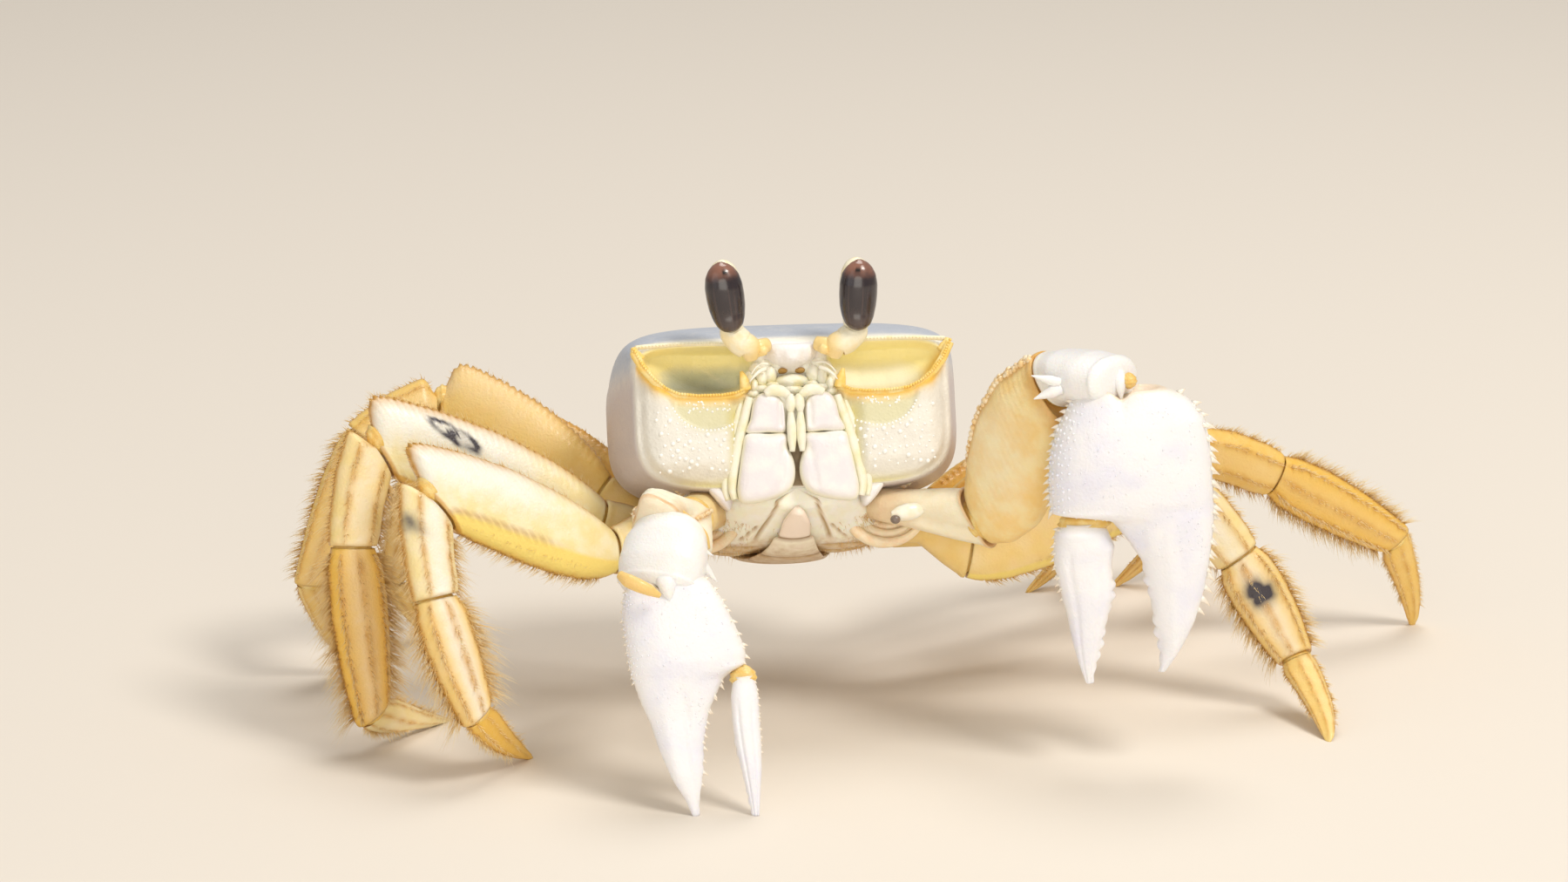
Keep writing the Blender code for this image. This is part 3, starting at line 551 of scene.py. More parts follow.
def sow(name, kind, places, ways, girths, reaches, material, lies=None, roots=(0, 0, 0), tones=0,
        bend=0.0):
    """Sets a bead, spine or bristle at each place (mm), pointing its way, and keeps them as one piece."""
    if kind not in trees:
        trees[kind] = sowing_tree(kind)
    places = np.asarray(places, float)
    ways = np.broadcast_to(np.asarray(ways, float), places.shape)
    vectors = {"way": ways, "lie": np.cross(ways, (0.3, 0.2, 1.0)) if lies is None else lies, "root": roots}
    numbers = {"girth": np.multiply(girths, MM), "reach": np.multiply(reaches, MM), "tone": tones}
    mesh = bpy.data.meshes.new(name)
    mesh.vertices.add(len(places))
    mesh.vertices.foreach_set("co", (places * MM).astype(np.float32).ravel())
    for mark, values in vectors.items():
        layer = mesh.attributes.new(mark, "FLOAT_VECTOR", "POINT")
        layer.data.foreach_set("vector", np.broadcast_to(values, places.shape).astype(np.float32).ravel())
    for mark, values in numbers.items():
        layer = mesh.attributes.new(mark, "FLOAT", "POINT")
        layer.data.foreach_set("value", np.broadcast_to(values, len(places)).astype(np.float32))
    ground = show(name + "_places", mesh)
    step = ground.modifiers.new("sow", "NODES")
    step.node_group = trees[kind]
    keys = {item.name: item.identifier for item in trees[kind].interface.items_tree if item.in_out == "INPUT"}
    for label, value in (("Girth", 1.0), ("Reach", 1.0), ("Bend", float(bend)), ("Finish", material)):
        step[keys[label]] = value
    graph = bpy.context.evaluated_depsgraph_get()
    grown = bpy.data.meshes.new_from_object(ground.evaluated_get(graph))
    for mark in ("way", "lie", "girth", "reach", "root", "leaf"):
        if mark in grown.attributes:
            grown.attributes.remove(grown.attributes[mark])
    bpy.data.objects.remove(ground)
    piece = show(name, grown)
    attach(piece, "root")
    return piece


def on_face_plane(x, z):
    """Points of the level trunk on the face's surface."""
    return np.stack([x, FACE_Y - face_relief(x, z), z], -1)


def on_face(path, side, from_y=FACE_Y):
    """Points of the level trunk from a list of x, forward, z, on the given side."""
    return [(side * x, from_y - forward, z) for x, forward, z in path]


def trunk_rod(path, girths, flat=1.0, **more):
    """Rounded rod along a path of the level trunk, on its tipped place."""
    return close_rings(trunk_to_world(tube_rings(path, girths, flat, **more)))


rim_finish = finish("socket_rim", (0.95, 0.64, 0.15), ((0.96, 0.80, 0.38), 1.6, 0.4, 0.7),
                    grain=((0.25, 0.06),), rough=0.4, gloss=0.2)
brow_finish = finish("brow_edge", (0.90, 0.84, 0.62), ((0.92, 0.72, 0.30), 2.5, 0.5, 0.8),
                     grain=((0.25, 0.05),), rough=0.4)
rim_shells, brow_shells, rim_beads, brow_beads = [], [], [], []
for side in (-1, 1):
    rim_x = np.linspace(5.6, 19.8, 30)
    path = on_face_plane(side * rim_x, socket_edges(rim_x)[0])
    rim_shells.append(trunk_rod(path, RIM_GIRTH * (0.75 + 0.55 * ramp(rim_x, 13.0, 18.5)), 0.8, count=90))
    rim_beads.append(smooth_run(path, int(19 / BEAD_STEP)) + np.array((0, -0.42, 0.22)))
    for spike, girths, flat, count in ((OUTER_TOOTH, (0.75, 0.7, 0.3), 0.9, 14),
                                       (INNER_TOOTH, (0.75, 0.6, 0.2), 0.8, 12)):
        rim_shells.append(trunk_rod(on_face(spike, side), girths, flat, count=count))
    brow_x = np.linspace(4.6, 19.4, 30)
    path = on_face_plane(side * brow_x, socket_edges(brow_x)[1] + 0.05) + np.array((0, 0.2, 0))
    brow_shells.append(trunk_rod(path, np.full(30, 0.3), 0.8, count=90, sides=10))
    brow_beads.append(smooth_run(path, int(15 / BROW_BEAD_STEP)) + np.array((0, -0.24, 0.0)))
make_piece("socket_rims", join_shells(rim_shells), rim_finish)
make_piece("brow_edges", join_shells(brow_shells), brow_finish)
sow("rim_beads", "bead", trunk_to_world(np.concatenate(rim_beads)), (0, -1, 0.3), BEAD_GIRTH,
    BEAD_GIRTH * 1.2, rim_finish)
sow("brow_beads", "bead", trunk_to_world(np.concatenate(brow_beads)), (0, -1, 0.3), BROW_BEAD_GIRTH,
    BROW_BEAD_GIRTH, brow_finish)


# Pearls on the cheeks.  Round white grains scattered low on each cheek, larger outwards, and one neat row
# under the crescent below each socket.
rng = np.random.default_rng(7)
PEARL_X, PEARL_Z = 12.4, -4.0
PEARLS, INNER_PEARLS = 56, 26
pearl_finish = finish("pearl", (0.98, 0.97, 0.94), rough=0.3, gloss=0.4)
pearls, pearl_sizes = [], []
for side in (-1, 1):
    kept = []
    while len(kept) < PEARLS:
        px, pz = rng.uniform(7.5, 17.5), rng.uniform(-7.2, 1.6)
        away = math.hypot((px - PEARL_X) / 5.0, (pz - PEARL_Z) / 3.6)
        if rng.random() > math.exp(-0.9 * away ** 2) or from_crescent(px, pz) < 1.08:
            continue
        if all(math.hypot(px - q[0], pz - q[1]) > 0.75 for q in kept):
            kept.append((px, pz))
    kept = np.array(kept)
    pearls.append(on_face_plane(side * kept[:, 0], kept[:, 1]))
    pearl_sizes.append(0.14 + 0.19 * rng.random(len(kept)) ** 1.4)
    turn = np.linspace(math.radians(200), math.radians(345), 26)
    row_x, row_z = CRESCENT_X - CRESCENT_WIDE * np.cos(turn), CRESCENT_Z + CRESCENT_HIGH * np.sin(turn)
    pearls.append(on_face_plane(side * row_x, row_z))
    pearl_sizes.append(rng.uniform(0.15, 0.21, len(row_x)))
    inner_x, inner_z = rng.uniform(8.0, 13.5, INNER_PEARLS), rng.uniform(0.2, 1.6, INNER_PEARLS)
    pearls.append(on_face_plane(side * inner_x, inner_z))
    pearl_sizes.append(rng.uniform(0.12, 0.18, INNER_PEARLS))
pearls, pearl_sizes = np.concatenate(pearls), np.concatenate(pearl_sizes)
sow("cheek_pearls", "bead", trunk_to_world(pearls), (0, -1, 0), pearl_sizes, pearl_sizes * 0.8, pearl_finish)


# Mouth frame, feelers and antennules.  Small cream lobes of thin shell packed between the sockets and the
# mouth plates, with two short curled feelers each side; they fold into pits under the brow lobe.
LOBES = (  # middle x and z, half width, half height, rise
    (0.05, 4.05, 2.25, 0.9, 0.95), (0.0, 2.9, 1.6, 0.7, 0.75), (2.7, 4.95, 0.9, 1.3, 1.0),
    (3.75, 4.5, 0.8, 1.2, 0.9), (2.45, 3.55, 0.95, 0.55, 0.95), (3.75, 3.2, 0.95, 0.55, 0.85),
    (4.75, 3.6, 0.6, 1.0, 1.0), (4.4, 5.6, 0.9, 1.0, 0.7), (3.4, 6.1, 1.2, 0.9, 0.6),
    (5.3, 4.3, 0.8, 1.3, 0.55), (1.9, 5.9, 1.1, 0.9, 0.45), (4.9, 2.6, 0.9, 0.7, 0.5),
)
# The nostril lobe each side of the nose is painted dark brown: painted shade standing for the shadowed
# nostril pits.
NOSTRIL = (1.15, 5.4, 0.75, 0.4, 0.6)
FEELERS = (  # points x, forward, z and the girth at the root
    (((3.0, 1.1, 6.1), (4.0, 1.6, 6.05), (4.75, 2.0, 5.45), (5.3, 2.1, 4.7)), 0.18),
    (((3.4, 1.2, 5.5), (4.3, 1.7, 5.05), (5.0, 2.0, 4.4), (5.5, 1.9, 3.8)), 0.31),
)


def plate(outline, y, rise, sink=0.7, count=64, levels=12, square=3.0, relief=None):
    """Domed plate over a smooth closed outline of x and z, standing out from depth y by its rise."""
    loop = smooth_run(outline, count, closed=True)
    centre = loop.mean(0)
    rings = []
    for shrink, depth in ((0.55, sink), (0.96, sink)):
        spots = centre + (loop - centre) * shrink
        rings.append(np.stack([spots[:, 0], np.full(count, y + depth), spots[:, 1]], -1))
    for q in np.linspace(0, 1, levels, endpoint=False):
        s = 1 - q * q
        spots = centre + (loop - centre) * s
        out = rise * (1 - s ** square) ** (1 / 2)
        ring = np.stack([spots[:, 0], np.full(count, y) - out, spots[:, 1]], -1)
        if relief is not None:
            ring[:, 1] -= relief(ring[:, 0], ring[:, 2]) * ramp(q, 0.0, 0.25)
        rings.append(ring)
    return close_rings(np.array(rings))


def oval_outline(x, z, half_width, half_height):
    turn = around(12)
    return np.stack([x + half_width * np.cos(turn), z + half_height * np.sin(turn)], -1)


def mirrored(outline, side):
    outline = np.array(outline, float)
    outline[:, 0] *= side
    return outline


def in_trunk(shell):
    return (trunk_to_world(shell[0]),) + tuple(shell[1:])


# The dark-brown layer of this finish is painted shade on the nostril lobes.
mouth_finish = finish("mouth_frame", (0.93, 0.90, 0.76), ((0.90, 0.82, 0.52), 1.6, 0.45, 0.75),
                      (("pit", (0.46, 0.26, 0.06), 0.0),), ((0.3, 0.08),), rough=0.38, gloss=0.25, glow=0.15)
feeler_finish = finish("feelers", (0.95, 0.92, 0.80), grain=((0.2, 0.04),), rough=0.35, gloss=0.3)
lobes, feelers = [], []
for x, z, half_width, half_height, rise in LOBES + (NOSTRIL,):
    for side in ((-1, 1) if x > 0.1 else (1,)):
        lobe = in_trunk(plate(oval_outline(side * x, z, half_width, half_height), FACE_Y + 0.6, rise + 0.5,
                              count=28, levels=7, square=2.2))
        lobes.append(marked(lobe, "pit", 1.0 if x == NOSTRIL[0] else 0.0))
for side in (-1, 1):
    for path, girth in FEELERS:
        feelers.append(trunk_rod(on_face(path, side), (girth, girth * 0.9, girth * 0.6, 0.06), count=22,
                                 sides=8))
make_piece("mouth_frame", join_shells(lobes), mouth_finish, ("front",))
make_piece("feelers", join_shells(feelers), feeler_finish)


# Outer mouth plates.  Each door is a long lower plate and a shorter upper one of smooth lilac-white shell,
# hinged at a seam with a painted near-white highlight on its outer part, a slim outer rod beside it and a
# jointed finger folded down along the middle.
LOWER_DOOR = ((1.2, -2.75), (3.4, -2.66), (6.1, -2.62), (6.75, -4.6), (7.3, -7.4), (7.6, -9.7), (7.1, -11.2),
              (4.9, -11.2), (2.6, -10.6), (1.1, -9.8), (0.38, -8.4), (0.28, -6.8), (0.62, -5.4), (1.05, -4.4))
UPPER_DOOR = ((1.4, -2.58), (1.2, -1.2), (1.25, 0.4), (1.7, 1.7), (2.8, 2.4), (4.3, 2.3), (5.15, 1.2),
              (5.6, -0.8), (6.1, -2.45), (3.4, -2.54))
DOOR_Y, DOOR_RISE = -15.2, 1.25
OUTER_ROD = ((5.7, 2.0), (6.5, -0.8), (7.3, -3.6), (8.0, -6.6), (8.35, -9.2), (8.1, -10.7))
OUTER_RODS = (  # how far out and forward each of the two rods stands, and its girths
    (-0.2, 0.75, (0.5, 0.62, 0.66, 0.66, 0.6, 0.45)), (0.62, 0.2, (0.25, 0.5, 0.6, 0.62, 0.56, 0.35)),
)
FINGER_JOINTS = (  # points x and z of each joint, and its girth
    (((3.7, 2.2), (2.7, 2.65), (1.6, 2.45), (0.7, 1.9)), 0.74),
    (((0.56, 2.1), (0.56, 1.0), (0.6, -0.2)), 0.62), (((0.6, -0.1), (0.58, -2.2), (0.62, -5.1)), 0.60),
)


def door_relief(x, z):
    a = np.abs(x)
    crease = -0.22 * bell(a - (2.2 - 0.12 * (z + 9.0)), 0.42) * ramp(-3.4 - z, 0, 0.8) * ramp(z, -10.2, -8.8)
    fold = ((0.16 * bell(a - 1.45, 0.2) - 0.28 * bell(a - 1.95, 0.32)) * ramp(z, -2.3, -1.6)
            * ramp(1.6 - z, 0, 0.6))
    return crease + fold


# The near-white seam layer of the doors is a painted highlight along the outer part of their hinge.
door_finish = finish("mouth_door", (0.83, 0.78, 0.80), ((0.90, 0.87, 0.84), 2.4, 0.35, 0.7),
                     (("edge", (0.90, 0.86, 0.70), 0.2), ("seam", (0.96, 0.95, 0.92), 0.0)), ((0.4, 0.06),),
                     rough=0.36, gloss=0.25)
rod_finish = finish("mouth_rod", (0.91, 0.88, 0.74), ((0.87, 0.81, 0.52), 2.0, 0.4, 0.75),
                    grain=((0.3, 0.06),), rough=0.4, gloss=0.2, glow=0.1)
for side, hand in ((-1, "right"), (1, "left")):
    doors = []
    for outline in (LOWER_DOOR, UPPER_DOOR):
        shell = plate(mirrored(outline, side), DOOR_Y, DOOR_RISE, sink=1.4, count=96, levels=20, square=5.0,
                      relief=door_relief)
        spots = shell[0]
        out = (DOOR_Y - spots[:, 1]) / DOOR_RISE
        edge = ramp(0.82 - out, 0.0, 0.5)
        # Painted highlight: the outer part of the hinge between the lower and upper door is painted near
        # white.
        seam = bell(spots[:, 2] + 2.75, 0.25) * ramp(np.abs(spots[:, 0]), 2.6, 4.6)
        doors.append((trunk_to_world(spots), shell[1], {"edge": edge, "seam": seam}))
    make_piece(f"mouth_door_{hand}", join_shells(doors), door_finish, (f"maxilliped_{hand}",))
rods = []
for side in (-1, 1):
    for shift, forward, girths in OUTER_RODS:
        rods.append(trunk_rod(on_face([(x + shift, forward, z) for x, z in OUTER_ROD], side), girths, 0.9,
                              count=50))
    for path, girth in FINGER_JOINTS:
        path = on_face([(x, 0.95, z) for x, z in path], side, DOOR_Y)
        rods.append(trunk_rod(path, (girth * 0.6, girth, girth, girth * 0.55), count=18))
make_piece("mouth_fingers", join_shells(rods), rod_finish)


# Eyes.  A cream stalk, orange where it leaves the socket, runs on as a pale rim behind a tall dark cornea
# that wraps round its outer face; the cornea is glassy and finely streaked, redder near the tip, with one
# small black spot.
STALK_ROOT = np.array((4.6, -15.9, 6.6))
STALK_LENGTH, EYE_LENGTH = 4.6, 9.3
STALK_WAY = {"right": (-0.79, 0.0, 0.95), "left": (0.92, 0.0, 0.93)}
EYE_WAY = {"right": (-0.16, 0.0, 1.0), "left": (0.03, 0.0, 1.0)}
CORNEA_SIDES = 96
CORNEA_ROWS = ((0.0, 0.30), (0.04, 1.10), (0.10, 1.62), (0.20, 2.00), (0.34, 2.28), (0.5, 2.38),
               (0.66, 2.36), (0.8, 2.1), (0.9, 1.6), (0.96, 1.05), (1.0, 0.3))
BACKING_ROWS = ((0.0, 1.30), (0.1, 1.35), (0.25, 1.6), (0.45, 1.95), (0.65, 2.05), (0.8, 1.9), (0.91, 1.5),
                (0.97, 0.9), (1.0, 0.2))


def unit(vector):
    vector = np.asarray(vector, float)
    return vector / np.linalg.norm(vector)


def turned_rings(start, along, rows, count, sides, side_on=(1, 0, 0), flat=0.9):
    """Rings of a body of revolution, a little flattened, along a line; rows are fraction and radius."""
    rows = np.array(rows)
    t = (1 - np.cos(np.linspace(0, np.pi, count))) / 2
    radius = np.interp(t, rows[:, 0], rows[:, 1])
    for _ in range(2):
        radius[1:-1] = (radius[:-2] + 2 * radius[1:-1] + radius[2:]) / 4
    length = np.linalg.norm(along)
    along = unit(along)
    wide = unit(np.asarray(side_on, float) - along * np.dot(side_on, along))
    deep = np.cross(along, wide)
    return start + along * (t[:, None, None] * length) + round_sections(wide, deep, radius, sides, flat), t


stalk_finish = finish("eye_stalk", (0.92, 0.86, 0.66), ((0.93, 0.80, 0.50), 1.5, 0.4, 0.7),
                      (("root", (0.92, 0.68, 0.28), 0.3),), ((0.3, 0.06),), rough=0.36, gloss=0.25)
cornea_finish = finish("cornea", (0.020, 0.012, 0.016),
                       layers=(("foot", (0.085, 0.055, 0.045), 0.5), ("streak", (0.10, 0.06, 0.05), 0.0),
                               ("tip", (0.27, 0.12, 0.08), 0.7), ("spot", (0.004, 0.003, 0.003), 0.0)),
                       rough=0.26, gloss=0.6)
for side, hand in ((-1, "right"), (1, "left")):
    root = trunk_to_world(STALK_ROOT * (side, 1, 1))
    knee = root + unit(STALK_WAY[hand]) * STALK_LENGTH
    up = unit(EYE_WAY[hand])
    tip = knee + up * EYE_LENGTH
    inward = np.array((-side, 0.0, 0.0))
    elbow = root + np.array((0.75 * side, -0.3, 0.9))
    base = root + np.array((-1.5 * side, 0.9, 1.6))
    fold = elbow + np.array((-1.1 * side, -0.5, -0.1))
    stem = (elbow + (-0.2 * side, 0, -0.9), elbow + (0.1 * side, 0, 0.6), (elbow + knee) / 2, knee,
            knee + up * 1.5)
    stalk = [rod(stem, (0.7, 1.55, 1.7, 1.6, 1.1), 0.9, count=40, sides=32),
             rod((base, (base + elbow) / 2 + (0, -0.3, 0.2), elbow), (0.9, 1.1, 0.95), 0.9, count=14,
                 sides=24),
             rod((fold, fold + (-0.9 * side, 0.1, 0.9)), (0.35, 0.7, 0.35), 0.9, count=10, sides=20)]
    backing, t = turned_rings(knee - up * 0.2 + inward * 0.12 + np.array((0, 0.25, 0)),
                              up * (EYE_LENGTH + 0.25), BACKING_ROWS, 44, 40)
    stalk.append(close_rings(backing))
    points, faces, _ = join_shells(stalk)
    stalk_marks = {"root": ramp(3.4 - np.linalg.norm(points - (base + elbow) / 2, axis=1), 0.0, 2.0)}
    make_piece(f"eye_stalk_{hand}", (points, faces, stalk_marks), stalk_finish,
               (f"eyestalk_{hand}",))
    rings, t = turned_rings(knee + up * 0.35 - inward * 0.14 + np.array((0, -0.42, 0)),
                            up * (EYE_LENGTH - 0.45), CORNEA_ROWS, 72, CORNEA_SIDES, flat=0.86)
    rise, turn = np.meshgrid(t, around(CORNEA_SIDES), indexing="ij")
    rings[..., 1] -= 0.8 * ramp(0.34 - rise, 0.0, 0.34)
    streak_rng = np.random.default_rng(11)
    streak = sum(streak_rng.uniform(0.4, 1.0) * np.sin(turn * n + streak_rng.uniform(0, 6)
                                                       + 0.7 * np.sin(rise * streak_rng.uniform(2, 5)))
                 for n in (7, 11, 17, 23, 31, 41))
    streak = np.clip(0.5 * ramp(streak, 0.2, 2.6) * ramp(rise, 0.0, 0.1) * ramp(0.9 - rise, 0, 0.5), 0, 1)
    facing = np.cos(turn - math.radians(-90 - 12 * side))
    spot = bell(rise - 0.885, 0.032) * ramp(facing, 0.972, 0.99)
    eye_marks = ring_marks(foot=ramp(0.42 - rise, 0, 0.4) * 0.8, streak=streak,
                           tip=ramp(rise, 0.74, 0.93) * 0.9, spot=spot)
    make_piece(f"cornea_{hand}", (*close_rings(rings), eye_marks), cornea_finish, (f"eye_{hand}",))


# Breastplate.  Cream shell under the body, parted by thin brown seams into plates that fan out to the legs,
# and stained brown where it rubs on the sand.
PLATE_HALF_WIDTH, PLATE_DEPTH = 15.5, -15.8
PLATE_FRONT, PLATE_REAR = -13.2, 15.4
CHEST_SIDES = 160


def plate_floor(y):
    """Lowest level of the breastplate at depth y: a ramp up to the mouth in front, a bowl behind."""
    y = np.asarray(y, float)
    ahead = np.clip((-4.0 - y) / (-4.0 - PLATE_FRONT), 0, None)
    behind = np.clip((y - 2.0) / (PLATE_REAR - 2.0), 0, None)
    return PLATE_DEPTH + 4.0 * ahead ** 1.3 + 5.8 * behind ** 2


chest_rings = []
for y in np.concatenate([[PLATE_FRONT - 0.25], np.linspace(PLATE_FRONT, PLATE_REAR, 110)]):
    front, rear = max(0.0, (-2.0 - y) / 11.2), max(0.0, (y - 2.0) / 13.4)
    width = PLATE_HALF_WIDTH * (1 - 0.58 * front ** 1.8) * (1 - 0.42 * rear ** 1.8)
    top = float(shell_bottom((y - FACE_Y) / (REAR_Y - FACE_Y))) + 1.6
    low = min(float(plate_floor(y)), top - 0.7)
    waist = top - 0.35 * (top - low)
    if y < PLATE_FRONT:
        width, low = width - 0.5, low + 0.5
    turn = around(CHEST_SIDES, 0.5)
    c, s = np.cos(turn), np.sin(turn)
    power = np.where(s > 0, 4.5, 2.6)
    rise = np.where(s > 0, top - waist, waist - low)
    chest_rings.append(np.stack([width * squared(c, power), np.full(CHEST_SIDES, y),
                                 waist + rise * squared(s, power)], -1))
chest_rings = np.array(chest_rings)
x, y, z = np.abs(chest_rings[..., 0]), chest_rings[..., 1], chest_rings[..., 2]
seams = np.zeros_like(x)
for start in (-4.4, 1.0, 6.0, 10.6):
    seams = np.maximum(seams, bell(y - start - 0.16 * (x - 3.0), 0.30) * ramp(x, 3.2, 4.4))
seams *= ramp(-11.0 - z + 1.5 * ramp(-y, 10, 12), 0, 1.5)
front_seam = bell(x - 2.6 - 0.34 * (y + 13.2), 0.22) * ramp(-6.0 - y, 0, 1.0)
front_seam = np.maximum(front_seam, bell(x - 8.3 - 0.55 * (y + 12.0), 0.26) * ramp(-7.0 - y, 0, 1.5))
front_seam = np.maximum(front_seam, bell(x - 4.4 - 0.9 * (y + 9.6), 0.22) * ramp(x, 4.2, 4.8)
                        * ramp(7.2 - x, 0, 0.8))
seams = np.maximum(seams, front_seam * ramp(-10.0 - z, 0, 0.8))
chest_rings[..., 2] += 0.38 * seams
chest_rings[..., 2] -= (0.5 * ramp(x, 3.5, 7) * ramp(15 - x, 0, 6) * np.abs(np.sin((y + 4.4) * np.pi / 5.2))
                        * ramp(-12.5 - z, 0, 1))
stain = ramp(y, -9.0, -2.0) * 0.8
chest_finish = finish("breastplate", (0.98, 0.93, 0.76), ((1.0, 0.97, 0.88), 2.2, 0.35, 0.7),
                      (("stain", (0.60, 0.37, 0.13), 1.3), ("seam", (0.50, 0.32, 0.13), 0.2)),
                      ((0.5, 0.10),), rough=0.42, gloss=0.15, glow=0.45)
chest_world = trunk_to_world(chest_rings)
make_piece("breastplate", (*close_rings(chest_world), ring_marks(stain=stain, seam=seams)), chest_finish,
           ("sternum",))
corner_shells = []
for side in (-1, 1):
    outline = mirrored(((8.2, -9.4), (10.9, -9.0), (10.2, -10.4), (8.6, -11.9), (8.1, -10.8)), side)
    corner_shells.append(in_trunk(plate(outline, FACE_Y + 0.7, 1.0, sink=1.6, count=30, levels=8)))
make_piece("mouth_corner_plates", join_shells(corner_shells), door_finish)


# Tail flap.  Seven narrow bands of cream shell folded forward under the breastplate, ending in a round
# pinkish tip, and carried up behind the body to the back shell.
FLAP_BELLY = ((-13.9, 0.4), (-13.5, 0.85), (-12.8, 1.25), (-11.6, 1.7), (-8.6, 2.0), (-8.1, 2.6),
              (-6.0, 3.1), (-2.0, 4.1), (3.0, 5.2), (8.0, 6.6), (12.0, 7.6))
FLAP_REAR = ((14.6, -11.9, 7.8), (16.6, -10.2, 7.9), (18.0, -7.6, 7.8), (18.8, -4.6, 7.3), (18.9, -1.6, 6.4))
FLAP_STEPS, FLAP_SIDES = 140, 40
FLAP_SEAMS = (0.137, 0.27, 0.38, 0.5, 0.62, 0.74, 0.83, 0.91)
flap_path = ([(0, y, float(plate_floor(y)) - 0.75) for y, w in FLAP_BELLY]
             + [(0, y, z) for y, z, w in FLAP_REAR])
flap_widths = np.array([w for y, w in FLAP_BELLY] + [w for y, z, w in FLAP_REAR])
flap_line = smooth_run(flap_path, FLAP_STEPS)
lengths = np.concatenate([[0], np.cumsum(np.linalg.norm(np.diff(np.array(flap_path, float), axis=0),
                                                        axis=1))])
t = np.linspace(0, 1, FLAP_STEPS)
half = np.interp(t * lengths[-1], lengths, flap_widths)
up = np.cross((1.0, 0, 0), units(np.gradient(flap_line, axis=0)))
turn = around(FLAP_SIDES, 0.5)
c, s = np.cos(turn), np.sin(turn)
across, deep = squared(c, 3.0), squared(s, 3.0)
band = np.zeros_like(t)
for place in FLAP_SEAMS:
    band = np.maximum(band, bell(t - place, 0.008))
dome = 1 + 0.6 * (1 - across ** 2) + 1.5 * ramp(t, 0.6, 0.8)[:, None] * (1 - across ** 2)
flap_rings = (flap_line[:, None] + np.array((1.0, 0, 0)) * (half[:, None] * across[None])[..., None]
              + up[:, None] * ((0.45 * dome * deep) * (1 - 0.5 * band)[:, None])[..., None])
flap_finish = finish("tail_flap", (0.94, 0.87, 0.70), ((0.94, 0.84, 0.70), 2.0, 0.4, 0.7),
                     (("stain", (0.58, 0.38, 0.18), 1.2), ("tip", (0.96, 0.82, 0.70), 0.3),
                      ("seam", (0.34, 0.20, 0.10), 0.2)),
                     ((0.5, 0.08),), rough=0.42, gloss=0.12)
flap_marks = {"stain": ramp(t, 0.12, 0.3) * ramp(0.85 - t, 0, 0.2) * 0.8,
              "tip": ramp(FLAP_SEAMS[0] - t, 0, 0.02), "seam": band}
flap_marks = ring_marks(**{mark: np.outer(values, np.ones(FLAP_SIDES)) for mark, values
                           in flap_marks.items()})
make_piece("tail_flap", (*close_rings(trunk_to_world(flap_rings)), flap_marks), flap_finish,
           ("abdomen",))


# Walking legs.  Flat plates of cream to golden shell, each edge finely toothed and browned, jointed one to
# the next over a soft golden skin and standing on pointed, fluted tips.
LEG_ROOTS = {2: (17.0, -5.0, -13.0), 3: (17.5, 1.0, -13.0), 4: (16.0, 6.5, -12.0), 5: (14.0, 11.0, -11.0)}
LEG_LENGTHS = {2: (7.5, 27.5, 13.2, 15.0, 13.8), 3: (7.5, 31.5, 13.5, 21.0, 14.3),
               4: (8.5, 25.0, 11.5, 20.0, 15.5), 5: (8.0, 19.5, 12.8, 16.5, 10.0)}
LEG_SCALE = {2: 1.0, 3: 1.0, 4: 0.92, 5: 0.7}
LEG_PARTS = ("ischium", "merus", "carpus", "propodus", "dactyl")
LEG_POSES = {  # heading and pitch of four segments, then the heading of the last, in degrees
    ("right", 2): ((36, -11), (19, 24), (102, -67), (138, -66), -130),
    ("right", 3): ((20, 22), (8, 24), (59, -68), (121, -80), -134),
    ("right", 4): ((-22, 32), (-25, 27), (20, -25), (12, -68), -147),
    ("right", 5): ((-47, 28), (-28, 21), (-16, -33), (-26, -75), -176),
    ("left", 2): ((3, -40), (2, 20), (16, -49), (26, -58), 83),
    ("left", 3): ((-26, -12), (-12, 15), (-10, -22), (-12, -31), -44),
    ("left", 4): ((-31, 3), (-23, 16), (-42, -32), (-56, -35), -173),
    ("left", 5): ((-31, 6), (-32, 12), (-46, -36), (-80, -47), 156),
}
SEGMENT_ROWS = {  # fraction of length, height, thickness and lift in mm
    "ischium": ((0.0, 5.6, 4.6, 0), (0.55, 5.8, 4.6, 0), (0.9, 5.5, 4.3, 0), (1.0, 5.1, 4.0, 0)),
    "merus": ((0.0, 5.2, 4.0, 0), (0.06, 6.9, 4.5, 0), (0.22, 9.4, 5.2, 0.2), (0.42, 10.8, 5.4, 0.5),
              (0.62, 10.7, 5.2, 0.6), (0.80, 9.8, 4.8, 0.6), (0.93, 8.6, 4.4, 0.3), (1.0, 4.6, 3.6, -1.1)),
    "carpus": ((0.0, 4.4, 3.6, -1.2), (0.14, 6.2, 4.3, -0.2), (0.5, 6.6, 4.8, 0.3), (0.85, 6.5, 4.6, 0.1),
               (1.0, 5.7, 4.2, 0)),
    "propodus": ((0.0, 5.4, 3.9, 0), (0.12, 6.8, 4.4, 0), (0.35, 7.2, 4.4, 0.1), (0.62, 6.6, 4.0, 0.1),
                 (0.88, 5.4, 3.5, 0), (1.0, 4.4, 3.1, 0)),
    "dactyl": ((0.0, 3.9, 2.8, 0), (0.12, 4.3, 2.9, 0.1), (0.32, 3.9, 2.6, 0.4), (0.55, 3.2, 2.2, 0.6),
               (0.75, 2.4, 1.8, 0.5), (0.9, 1.5, 1.3, 0.3), (1.0, 0.8, 0.8, 0)),
}
LEG_GOLD = {(side, pair): (0.6, 0.8, 0.8, 0.8, 0.7) for side in ("right", "left") for pair in (4, 5)}
